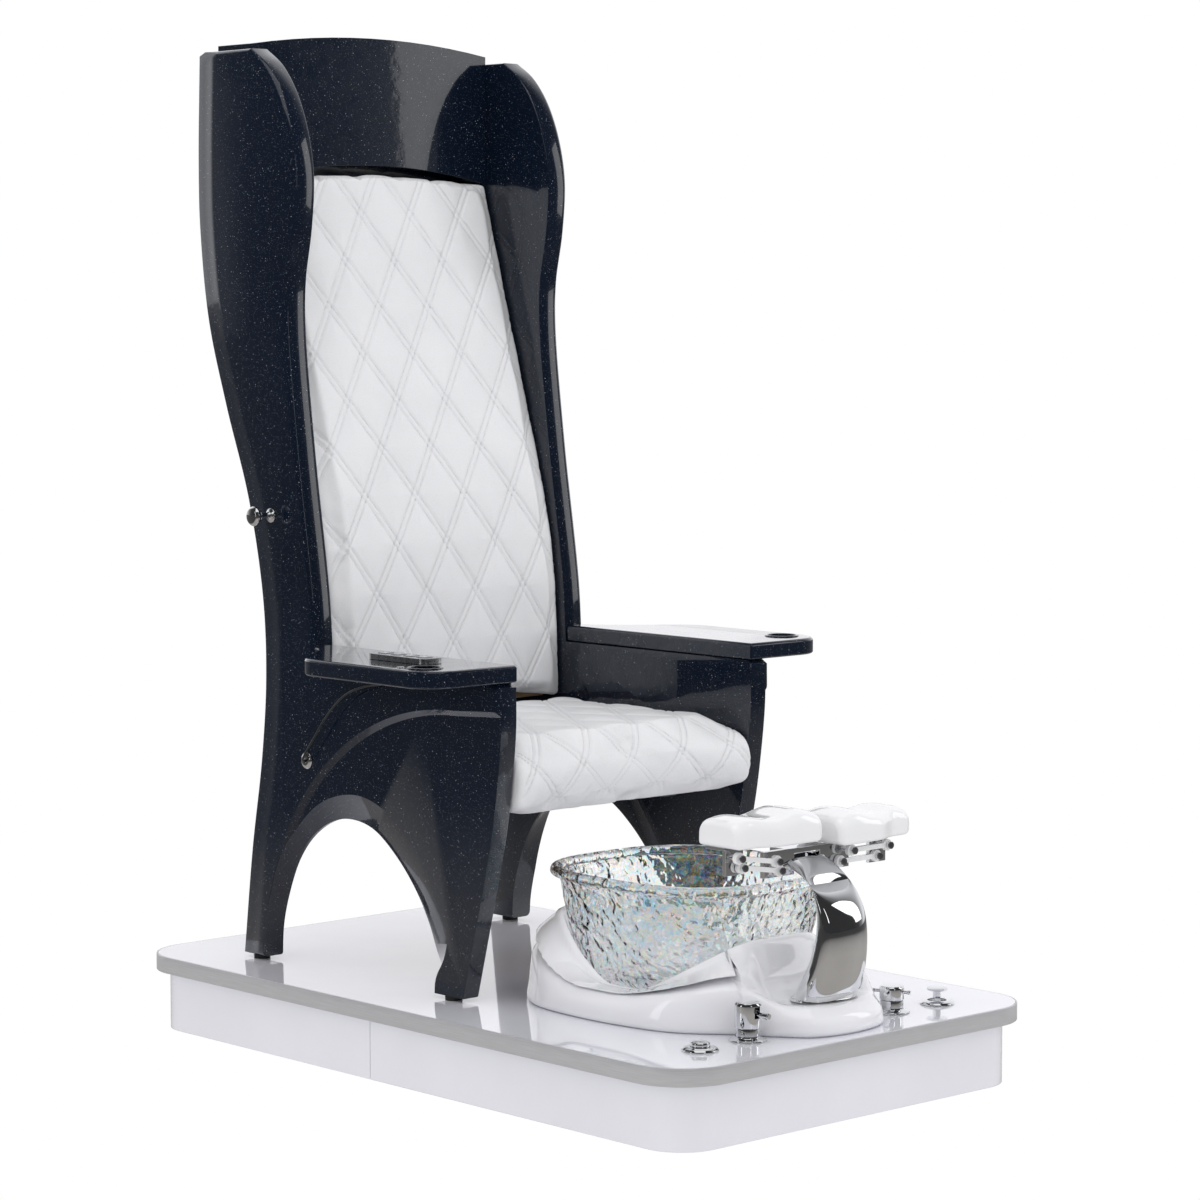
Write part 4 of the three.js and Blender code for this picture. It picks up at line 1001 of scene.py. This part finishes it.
def stitching(name, piece, line, run, origin, keep):
    """Twin rows of stitches on the diamond lines, found by probing the finished cover from in front."""
    surface = BVHTree.FromObject(piece, bpy.context.evaluated_depsgraph_get())
    points, edges = [], []
    tilt = QUILT["wide"] / QUILT["tall"]
    span = int(2 * SEAT["half"] / QUILT["wide"] + run[-1] / QUILT["tall"]) + 4
    steps = int(run[-1] / 0.005)
    normals = []
    for i in range(steps + 1):
        at = run[-1] * i / steps
        (y, z), (y1, z1), (y0, z0) = ([np.interp(spot, run, line[:, c]) for c in (0, 1)]
                                      for spot in (at, min(run[-1], at + 0.004), max(0.0, at - 0.004)))
        d = Vector((0, y1 - y0, z1 - z0)).normalized()
        normals.append((at, Vector((0, y, z)), Vector((0, d.z, -d.y))))
    for sign in (1, -1):
        for k in range(-span, span + 1):
            for twin in (-1, 1):
                shift = k - 0.5 + twin * QUILT["twin"] / PITCH
                last = None
                for at, base, out in normals:
                    x = QUILT["wide"] * shift - sign * (at - origin) * tilt
                    if abs(x) > SEAT["half"] - 0.012 or not keep(at):
                        last = None
                        continue
                    start = Vector((x, base.y, base.z)) + out * 0.05
                    hit = surface.ray_cast(start, -out, 0.11)[0]
                    if hit is None:
                        last = None
                        continue
                    points.append(hit + out * 0.0002)
                    if last is not None:
                        edges.append((last, len(points) - 1))
                    last = len(points) - 1
    mesh = bpy.data.meshes.new(name)
    mesh.from_pydata(points, edges, [])
    return through_nodes(name, stitch_rows, mesh, {**STITCH, "Thread": thread})


def at_deck(points):
    return [(y * 0.001, z * 0.001 + DECK_TOP) for y, z in points]


# Seat cushion: its cover starts a little smaller than the finished cushion
seat_line, seat_run = run_lengths(list(reversed(at_deck(resampled(SEAT_ROLL, 8)))))
seat_outline = at_deck([(SEAT["rear"], SEAT["floor"]), *resampled(SEAT_ROLL, 12)])
seat_outline = inset_outline(seat_outline[::-1], 0.006)


def seat_limit(co):
    co[:, 0] = np.clip(co[:, 0], -SEAT["half"] + 0.0006, SEAT["half"] - 0.0006)
    co[:, 1] = np.clip(co[:, 1], SEAT_ROOM["front"], SEAT_ROOM["rear"])
    co[:, 2] = np.clip(co[:, 2], DECK_TOP + SEAT_ROOM["low"], DECK_TOP + SEAT_ROOM["high"])
    behind = co[:, 1] > SEAT_ROOM["tuck"]
    co[:, 2] = np.where(behind, np.minimum(co[:, 2], DECK_TOP + SEAT_ROOM["tuck_high"]), co[:, 2])
    return co


def seat_ring(x, inset):
    return [(x, y, z) for y, z in (inset_outline(seat_outline, inset) if inset else seat_outline)]


seat_half = SEAT["half"] - 0.001
seat_cover = stuffed("seat_cushion_cover", [
    seat_ring(-seat_half, 0.010), seat_ring(-seat_half + 0.004, 0.004), seat_ring(-seat_half + 0.012, 0.0),
    seat_ring(seat_half - 0.012, 0.0), seat_ring(seat_half - 0.004, 0.004), seat_ring(seat_half, 0.010)],
    seat_limit, 0.022)
quilt(seat_cover, seat_line, seat_run, QUILT_START["seat"], lambda n: np.maximum(n[:, 2], -n[:, 1]))
dress(seat_cover, "frame", "white_leather", "seat_cushion")
seat_stitches = stitching("seat_cushion_stitching", seat_cover, seat_line, seat_run, QUILT_START["seat"],
                          lambda at: 0.02 < at < seat_run[-1] - 0.012)
dress(seat_stitches, "frame", "white_leather")

# Back cushion: a curved slab with an arched top
back_line, back_run = run_lengths(list(reversed(at_deck(resampled(BACK_FACE, 8)))))
back_samples = resampled(BACK_FACE, 16)


def arch_top(x):
    """Height of the arched upper edge above the deck, in metres, for one x or for an array of them."""
    rise, half = BACK_TOP["crest"] - BACK_TOP["corner"], SEAT["half"] * 1000
    radius = (half * half + rise * rise) / (2 * rise)
    return (BACK_TOP["crest"] - radius + np.sqrt(radius * radius - (x * 1000) ** 2)) * 0.001


def back_ring(x, inset):
    top = arch_top(x) + DECK_TOP - 0.0008 - inset * 0.3
    low = BACK_ROOM["foot"] + DECK_TOP + 0.004 + inset
    low_z, high_z = back_samples[0][1] * 0.001 + DECK_TOP, back_samples[-1][1] * 0.001 + DECK_TOP
    face, rear = [], []
    samples = at_deck(back_samples)
    for y, z in samples:
        level = low + (z - low_z) / (high_z - low_z) * (top - low)
        y_at = float(np.interp(level, [p[1] for p in samples], [p[0] for p in samples]))
        face.append((x, y_at + 0.004 + inset * 0.8, level))
        rear.append((x, y_at + BACK_THICK * 0.001 - 0.003 - inset * 0.2, level))
    return face + rear[::-1]


def back_limit(co):
    line = np.array(at_deck(back_samples))
    y_face = np.interp(co[:, 2], line[:, 1], line[:, 0])
    co[:, 0] = np.clip(co[:, 0], -SEAT["half"] + 0.0006, SEAT["half"] - 0.0006)
    co[:, 1] = np.clip(co[:, 1], y_face - 0.012, y_face + BACK_THICK * 0.001 - 0.0004)
    top = arch_top(co[:, 0]) + DECK_TOP
    co[:, 2] = np.clip(co[:, 2], DECK_TOP + BACK_ROOM["low"], top - 0.0005)
    return co


back_half = SEAT["half"] - 0.001
back_stations = [(-back_half, 0.009), (-back_half + 0.004, 0.003), (-back_half + 0.012, 0.0)]
back_stations += [(x * back_half / 4, 0.0) for x in range(-3, 4)]
back_stations += [(-x, inset) for x, inset in back_stations[2::-1]]
back_rings = [back_ring(x, inset) for x, inset in back_stations]
back_cover = stuffed("back_cushion_cover", back_rings, back_limit, 0.024)
quilt(back_cover, back_line, back_run, QUILT_START["back"], lambda n: -n[:, 1])
dress(back_cover, "frame", "white_leather", "back_cushion")
back_stitches = stitching("back_cushion_stitching", back_cover, back_line, back_run, QUILT_START["back"],
                          lambda at: 0.012 < at < back_run[-1] - 0.012)
dress(back_stitches, "frame", "white_leather")

# Basin surround
# One glossy white moulding that cradles the bowl. Its lip is high behind the bowl and by the column and low
# at both sides, and it runs forward into a lobe that carries the footrest. It is bonded to the deck.
BOWL = {"y": -0.305, "half_x": 0.210, "half_y": 0.230, "power": 2.8}
BOWL_WALL = [(0.54, 22), (0.66, 27), (0.76, 48), (0.83, 95), (0.9, 165), (0.935, 212), (0.95, 240)]
SURROUND_FOOT = [(0, 262), (150, 240), (232, 150), (252, 40), (247, -90), (222, -190), (156, -274),
                 (118, -332), (80, -374), (0, -391)]
LIP = {"low": 46, "rear": 104, "front": 92}


def ease(a, b, x):
    t = min(1.0, max(0.0, (x - a) / (b - a)))
    return t * t * (3 - 2 * t)


def bowl_reach(turn, share):
    c, s = abs(math.cos(turn)), abs(math.sin(turn))
    power = BOWL["power"]
    return share * 1000 / ((c / BOWL["half_x"]) ** power + (s / BOWL["half_y"]) ** power) ** (1 / power)


def bowl_share(z):
    for (s0, z0), (s1, z1) in zip(BOWL_WALL, BOWL_WALL[1:]):
        if z <= z1:
            return s0 + (s1 - s0) * max(0.0, z - z0) / (z1 - z0)
    return BOWL_WALL[-1][0]


surround_white = white_gelcoat_material("surround_white_gelcoat", (0.79, 0.79, 0.825), (0.05, 0.10))
foot_line = smooth_line([(x, y, 0) for x, y in SURROUND_FOOT]
                        + [(-x, y, 0) for x, y in SURROUND_FOOT[-2:0:-1]], 216, closed=True)
surround_rings = []
for foot in foot_line:
    reach, turn = foot.length, math.atan2(foot.y, foot.x)
    rearward = math.asin(math.sin(turn))
    lip = LIP["low"] + LIP["rear"] * ease(0.1, 0.95, rearward) + LIP["front"] * ease(0.2, 1.35, -rearward)
    lobe = ease(300, 372, reach)
    inner = bowl_reach(turn, bowl_share(lip) + 0.014)
    lip_out = min(inner + 16, reach - 12)
    shoulder = LIP["low"] + (lip - LIP["low"]) * (1 - lobe) * 0.45
    shoulder_out = reach - 14 - lobe * 4
    fold = lobe * max(0.0, shoulder_out - (lip_out + 26))
    section = [(bowl_reach(turn, 0.5), 0.6), (reach - 4, 0.4), (reach, 3), (reach - 3, min(30, shoulder - 8)),
               (max(shoulder_out + 3, lip_out + 9), shoulder - 6),
               (max(shoulder_out - 5, lip_out + 6), shoulder + 1)]
    if fold > 8:
        section.append((max(shoulder_out - fold * 0.55, lip_out + 9), shoulder + 3))
    else:
        section.append((lip_out + 5, (shoulder + lip) / 2 + 2))
    section.append((max(shoulder_out - fold, lip_out + 4), shoulder + 5 + (lip - shoulder) * 0.28))
    section += [(lip_out + 1, lip - 6), (lip_out - 4, lip - 0.6), (inner + 5, lip), (inner + 0.6, lip - 4)]
    depth = lip - 8
    for k in range(1, 6):
        z = depth + (24 - depth) * k / 5
        section.append((bowl_reach(turn, bowl_share(z) + 0.014), z))
    section.append((bowl_reach(turn, 0.5), 19))
    flat = [section[0], *flat_line(section[1:], 56)]
    surround_rings.append([(r * 0.001 * math.cos(turn), BOWL["y"] + r * 0.001 * math.sin(turn),
                            DECK_TOP + max(0.4, z) * 0.001) for r, z in flat])
# The loft runs round the bowl, so it is joined end to end, and each section is closed on itself as well
surround = loft("surround_moulding", surround_rings, surround_white, closed=True, sharp=60)
dress(surround, "frame", "white_gelcoat", "basin_surround")

# Glass bowl
# A heavy press-moulded glass bowl with a hammered surface and a thick rolled rim. A thin metal oxide film on
# the outside gives it pink, blue and green tints. It rests in the surround and is sealed at its drain.


def glass_material():
    material, shader, node, place = graph("iridescent_hammered_glass")
    patch = grain_of(node, place, 38.0, 4.0, Distortion=2.2)
    zone = grain_of(node, place, 9.0, 3.0)
    film = ramp(node, patch, [(0.34, (0.42, 0.95, 0.88)), (0.42, (0.34, 0.68, 1.0)),
                              (0.475, (0.94, 0.96, 1.0)), (0.52, (1.0, 0.62, 0.78)),
                              (0.565, (1.0, 0.92, 0.56)), (0.63, (0.60, 0.97, 0.72)),
                              (0.73, (0.50, 0.88, 0.96))])
    clear = (0.97, 0.99, 0.985, 1.0)
    amount = ramp(node, zone, [(0.36, 0.05), (0.60, 0.75)])
    tint = node("ShaderNodeMix", {"Factor": amount, 6: clear, 7: film}, data_type="RGBA").outputs[2]
    link(shader.inputs["Base Color"], tint)
    link(shader.inputs["Roughness"], ramp(node, patch, [(0.3, 0.01), (0.7, 0.03)]))
    shader.inputs["Transmission Weight"].default_value = 1.0
    shader.inputs["IOR"].default_value = 1.45
    film_depth = node("ShaderNodeMath", {0: patch, 1: 640.0}, operation="MULTIPLY").outputs[0]
    link(shader.inputs["Thin Film Thickness"], film_depth)
    shader.inputs["Thin Film IOR"].default_value = 1.8
    # Hammer marks: shallow dished cells with fine ripples between them
    warp = node("ShaderNodeTexNoise", {"Vector": place, "Scale": 30.0, "Detail": 2.0}).outputs["Color"]
    bent = node("ShaderNodeVectorMath", {0: warp, "Scale": 0.03}, operation="SCALE").outputs[0]
    spot = node("ShaderNodeVectorMath", {0: place, 1: bent}, operation="ADD").outputs[0]
    dish = node("ShaderNodeTexVoronoi", {"Vector": spot, "Scale": 58.0, "Smoothness": 0.5},
                feature="SMOOTH_F1").outputs["Distance"]
    ripple = grain_of(node, place, 130.0, 2.0)
    relief = node("ShaderNodeMath", {0: ripple, 1: 0.18, 2: dish}, operation="MULTIPLY_ADD").outputs[0]
    raise_by(node, shader, relief, 0.7, 0.005)
    return material


glass = glass_material()
BOWL_SECTION = [(0.13, 23.5), (0.30, 22.5), (0.54, 22.8), (0.66, 28), (0.76, 48), (0.83, 95), (0.875, 140),
                (0.905, 178), (0.928, 208), (0.955, 217)]
RIM = {"centre": -9.5, "z": 223.5, "radius": 9.3}
GLASS_THICK = 9
BOWL_AROUND = 300


def bowl_ring(offset, share, z):
    ring = []
    for i in range(BOWL_AROUND):
        turn = 2 * math.pi * i / BOWL_AROUND
        reach = bowl_reach(turn, share) + offset
        ring.append(Vector((reach * 0.001 * math.cos(turn), BOWL["y"] + reach * 0.001 * math.sin(turn),
                            DECK_TOP + z * 0.001)))
    return ring


bowl_outside = smooth_line([(share, z * 0.004, 0) for share, z in BOWL_SECTION], 96)
bowl_levels = [(0.0, p.x, p.y * 250, 1.0) for p in bowl_outside]
for k in range(1, 22):
    roll = math.radians(-62 + k * 12.5)
    bowl_levels.append((RIM["centre"] + RIM["radius"] * math.cos(roll) - 0.2, 1.0,
                        RIM["z"] + RIM["radius"] * math.sin(roll), 0.22))
for p in reversed(bowl_outside[4:]):
    z = p.y * 250
    bowl_levels.append((-GLASS_THICK + 0.5, p.x, max(z + (6 if z < 60 else 1), 31.5), -1.0))
bowl_levels.append((-GLASS_THICK + 0.5, 0.15, 31.8, 0.0))
bowl_rings = []
for offset, share, z, side in bowl_levels:
    ring = bowl_ring(offset, share, z)
    centre = Vector((0, BOWL["y"], 0))
    fade = ease(30, 62, z)
    shaped = []
    for p in ring:
        away = Vector((p.x, p.y - BOWL["y"], 0)).normalized()
        warp = noise.noise_vector(p * 16) * 0.010
        spot = (p + warp) * 46
        cells, _ = noise.voronoi(spot, distance_metric="DISTANCE", exponent=2.5)
        relief = (min(1.0, cells[1] - cells[0]) ** 0.7) * 2.8 - 1.2 + noise.noise(p * 70) * 0.6
        # Outside relief stays inside the seat in the surround; the inner face has its own shallow relief
        shaped.append(tuple(p + away * (relief * side * 0.001 * fade * (0.9 if side > 0 else 0.6))))
    bowl_rings.append(shaped)
bowl = loft("hammered_glass_bowl", bowl_rings, glass, closed=True, sharp=70)
dress(bowl, "frame", "iridescent_glass", "glass_bowl")
bowl.visible_shadow = False
bowl.visible_diffuse = False

# Bowl drain and stopper
# A chromed flange with a tail through the bowl's base, closed by a domed stopper that lifts on a pin.
DRAIN = [(14, -28), (24, -28), (24, 21.5), (25.4, 21.5), (25.4, 31.6), (34, 31.6), (34, 33.2), (27, 35),
         (15, 32.6), (14, 31)]
STOPPER = [(0, 8), (4, 8), (4, 36.5), (22, 36.5), (24, 38.5), (20, 41), (10, 42.3), (0, 42.5)]
chromed("bowl_drain_flange", DRAIN, 0.6, (0, BOWL["y"], DECK_TOP), "frame", "bowl_drain", closed=True)
chromed("drain_stopper_dome", STOPPER, 1.2, (0, BOWL["y"], DECK_TOP), "drain_stopper", "drain_stopper",
        sides=48)

# Footrest column and head
# A chromed cast blade, wide across the bowl and thin front to back, that leans forward off the lobe and
# curls back over the bowl. Its head is a machined block with pins for the two pads' links.
# Stations of the blade: y, z, half its width, half its depth, and its lean in degrees
COLUMN = [(-623, 50, 63, 40, 0), (-639, 80, 61, 34, 0), (-655, 125, 56, 28, 0), (-661, 170, 52, 24, -6),
          (-656, 205, 50, 22, -18), (-639, 236, 48, 20, -36), (-611, 258, 46, 18, -52),
          (-580, 272, 46, 17, -60)]


def spaced_stations(stations, count):
    """More stations on smooth lines through a few: the first three values make the path."""
    path = smooth_line([(s[0], s[1], s[2] * 0.2) for s in stations], count)
    extra = smooth_line([(s[3] * 4, s[4] * 1.6, i * 30) for i, s in enumerate(stations)], count)
    return [(p.x, p.y, p.z * 5, q.x / 4, q.y / 1.6) for p, q in zip(path, extra)]


def blade_ring(y, z, half_x, half_y, lean, power=2.5, sides=72):
    tilt = math.radians(-lean)
    ring = []
    for i in range(sides):
        turn = 2 * math.pi * i / sides
        c, s = math.cos(turn), math.sin(turn)
        size = (abs(c) ** power + abs(s) ** power) ** (-1 / power)
        deep = half_y * s * size
        ring.append((half_x * c * size * 0.001, (y + deep * math.cos(tilt)) * 0.001,
                     (z + deep * math.sin(tilt)) * 0.001 + DECK_TOP))
    return ring


column = loft("footrest_blade", [blade_ring(*s) for s in spaced_stations(COLUMN, 90)], chrome, sharp=40)
rounded_edges(column, 0.0015, 3, 45)
dress(column, "frame", "chrome", "footrest_column")
foot_levels = ((49.4, 0), (51.4, 0), (52.6, 0.6), (53.2, 2.2), (53.3, 8))
foot_rings = [blade_ring(-622, z, 66 - trim, 43 - trim, 0, 2.2, 96) for z, trim in foot_levels]
column_foot = loft("footrest_blade_foot", foot_rings, chrome, sharp=50)
dress(column_foot, "frame", "chrome")
head = rounded_edges(node_copy("footrest_head_block", "footrest_head", chrome), 0.0009, 3, 40)
dress(head, "frame", "chrome", "footrest_head")

# Links and brackets
# Each pad is carried by two equal bars, cast in zinc and painted white, between the head's pins and a
# chromed bracket under the pad. The pins end in dark screw heads with a hex recess.
link_white = white_gelcoat_material("link_white_enamel", (0.82, 0.82, 0.83), (0.16, 0.28))
bolt_steel = brushed_metal_material("dark_bolt_steel", (0.20, 0.20, 0.21), (0.3, 0.45), (1, 60, 1), 20.0)
for side in ("left", "right"):
    for bar in ("upper_link", "lower_link"):
        piece = rounded_edges(node_copy(f"{side}_{bar}_bar", f"{side}_{bar}", link_white), 0.0009, 3, 40)
        dress(piece, f"{side}_{bar}", "white_gelcoat", f"{side}_{bar}")
    bracket = rounded_edges(node_copy(f"{side}_pad_carrier", f"{side}_pad_bracket", chrome), 0.0009, 3, 40)
    dress(bracket, f"{side}_pad", "chrome", f"{side}_pad_bracket")
LINK = {"reach": 0.088, "pivot_x": 0.089, "pivot_z": 0.283, "drop_x": 0.016, "drop_z": 0.018,
        "upper_y": -0.605, "lower_y": -0.595, "rest": 9}
HEX_BOLT = softened([(0, -1.2), (2.6, -1.2), (2.6, 0.3), (6.2, 0.3), (6.2, 3.0), (5.2, 3.8), (0, 3.8)], 0.5)
for side, sign, rise in (("left", -1, math.radians(LINK["rest"])), ("right", 1, 0.0)):
    tip_x = sign * (LINK["pivot_x"] + LINK["reach"] * math.cos(rise))
    tip_z = LINK["pivot_z"] + LINK["reach"] * math.sin(rise)
    root_x, drop_x = sign * LINK["pivot_x"], sign * LINK["drop_x"]
    spots = (("frame", "head_upper", root_x, LINK["pivot_z"], LINK["upper_y"]),
             ("frame", "head_lower", root_x - drop_x, LINK["pivot_z"] - LINK["drop_z"], LINK["lower_y"]),
             (f"{side}_pad", "pad_upper", tip_x, tip_z, LINK["upper_y"]),
             (f"{side}_pad", "pad_lower", tip_x - drop_x, tip_z - LINK["drop_z"], LINK["lower_y"]))
    for body, label, x, z, y in spots:
        bolt = lathe(f"{side}_{label}_bolt", HEX_BOLT, bolt_steel, (x, y, DECK_TOP + z), 24, axis=(0, -1, 0))
        dress(bolt, body, "painted_steel")

# Foot pads
# Two moulded saddles with a hard glossy white skin. The top rises into an inner lobe, dips, and rises again
# into a smaller outer lobe set further back, and it rolls over into the front face. Each is screwed to its
# bracket.
PAD = {"inner": 20, "outer": 208, "front": -640, "rear": -530, "end": 15, "middle": 22}
pad_white = white_gelcoat_material("foot_pad_white_skin", (0.80, 0.80, 0.82), (0.08, 0.15))


def pad_section(t):
    """Section across the pad at a share t of its length, as (y, z) above the pad's flat underside."""
    inner_lobe = math.exp(-((t - 0.24) / 0.20) ** 2)
    outer_lobe = math.exp(-((t - 0.80) / 0.15) ** 2)
    top = 44 + 11.5 * inner_lobe + 7 * outer_lobe
    front = PAD["front"] + 16 * ease(0.50, 0.80, t) - 1.5 * inner_lobe
    rear = PAD["rear"] - 3 * outer_lobe
    return [(front + 6, 0.3), (front + 1.2, 2), (front, 9), (front + 0.2, top * 0.45),
            (front + 2.6, top * 0.72), (front + 10, top * 0.90), (front + 25, top * 0.985),
            (front + 46, top), (rear - 26, top * 0.985), (rear - 9, top * 0.9), (rear - 1.5, top * 0.66),
            (rear, top * 0.35), (rear - 1.2, 2), (rear - 6, 0.3)]


def foot_pad(name, sign, base_z):
    rings = []
    stations = 72
    for i in range(stations + 1):
        share = i / stations
        t = 0.5 - 0.5 * math.cos(math.pi * share)
        near = min(t, 1 - t) * (PAD["outer"] - PAD["inner"])
        pull = 1 - math.sqrt(max(0.0, 1 - (1 - min(1.0, near / PAD["end"])) ** 2))
        mid_y = (PAD["front"] + PAD["rear"]) / 2
        x = sign * (PAD["inner"] + t * (PAD["outer"] - PAD["inner"])) * 0.001
        ring = []
        for y, z in flat_line(pad_section(t), 64):
            y += (mid_y - y) * pull * 0.18
            z += (PAD["middle"] - z) * pull * 0.42
            ring.append((x, y * 0.001, base_z + max(0.2, z) * 0.001))
        rings.append(ring)
    return loft(name, rings, pad_white, sharp=50)


for side, sign in (("left", -1), ("right", 1)):
    pad = foot_pad(f"{side}_foot_saddle", sign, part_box(f"{side}_foot_pad")[0].z)
    rounded_edges(pad, 0.002, 3, 40)
    dress(pad, f"{side}_pad", "white_gelcoat", f"{side}_foot_pad")

# Taps and deck fittings
# Chromed brass: a mixer with a pin lever, a diverter with a four-spoked knob, an air button and a drain
# knob, each on a flange screwed through the deck.
TAP = {"x": 0.172, "y": -0.615, "button_x": 0.283, "button_y": -0.618}
FLANGE = [(0, -31), (12, -31), (12, 0.3), (31, 0.3), (31, 2.6), (26, 4.6), (20.4, 6.4), (20, 9), (20, 22),
          (0, 22)]
MIXER = [(0, 22.3), (22.5, 22.3), (22.5, 60), (20, 64), (0, 64)]
LEVER = [(0, 0), (4, 0), (4, 27), (5.6, 28.5), (5.6, 41), (4.4, 42), (0, 42)]
DIVERTER = [(0, 22.3), (21, 22.3), (21, 42), (18, 46), (0, 46)]
for kind, x in (("mixer", -TAP["x"]), ("diverter", TAP["x"])):
    chromed(f"{kind}_flange", FLANGE, 1.2, (x, TAP["y"], DECK_TOP), "frame", f"{kind}_base")
mixer = lathe("mixer_barrel", softened(MIXER, 1.4), chrome, (-TAP["x"], TAP["y"], DECK_TOP))
slot_corners = ((-6, 39), (6, 39), (6, 58), (-6, 58))
slot_tool = loft("lever_slot_tool", [[(-TAP["x"] + x * 0.001, TAP["y"] + y * 0.001, DECK_TOP + z * 0.001)
                                      for x, z in slot_corners] for y in (-30, -6)], chrome)
cut_away(mixer, slot_tool)
smooth_shade(mixer, 32)
dress(mixer, "mixer_body", "chrome", "mixer_body")
chromed("mixer_pin_lever", LEVER, 0.8, (-TAP["x"], TAP["y"] - 0.007, DECK_TOP + 0.046), "mixer_lever",
        "mixer_lever", sides=32, axis=(0, -1, 0))
chromed("diverter_cap", DIVERTER, 1.6, (TAP["x"], TAP["y"], DECK_TOP), "diverter_knob", "diverter_knob")
SPOKE = [(0, 14), (3, 14), (3, 29), (3.8, 30.5), (3.8, 33), (3, 34), (0, 34)]
for number, turn in enumerate((0.5, 2.0, 3.5, 5.0), 1):
    chromed(f"diverter_spoke_{number}", SPOKE, 0.7, (TAP["x"], TAP["y"], DECK_TOP + 0.036), "diverter_knob",
            sides=24, axis=(-math.sin(turn), math.cos(turn), 0))
RING = [(16.4, 0.3), (30, 0.3), (30, 2.2), (27, 5), (22, 7), (17, 7), (16.4, 6.4)]
AIR_CAP = [(0, 1), (16, 1), (16, 8), (13, 10), (6, 11), (0, 11)]
PULL_CAP = [(0, 0.6), (7, 0.6), (7, 14), (17, 15), (18, 18), (12, 20), (0, 20.5)]
for kind, x in (("air_button", -TAP["button_x"]), ("drain_knob", TAP["button_x"])):
    chromed(f"{kind}_bezel", RING, 0.9, (x, TAP["button_y"], DECK_TOP), "frame", f"{kind}_ring", closed=True)
for kind, cap_profile, soft, x, lift in (("air_button", AIR_CAP, 1.4, -TAP["button_x"], 0.005),
                                         ("drain_knob", PULL_CAP, 1.0, TAP["button_x"], 0.009)):
    chromed(f"{kind}_cap", cap_profile, soft, (x, TAP["button_y"], DECK_TOP + lift), kind, kind)
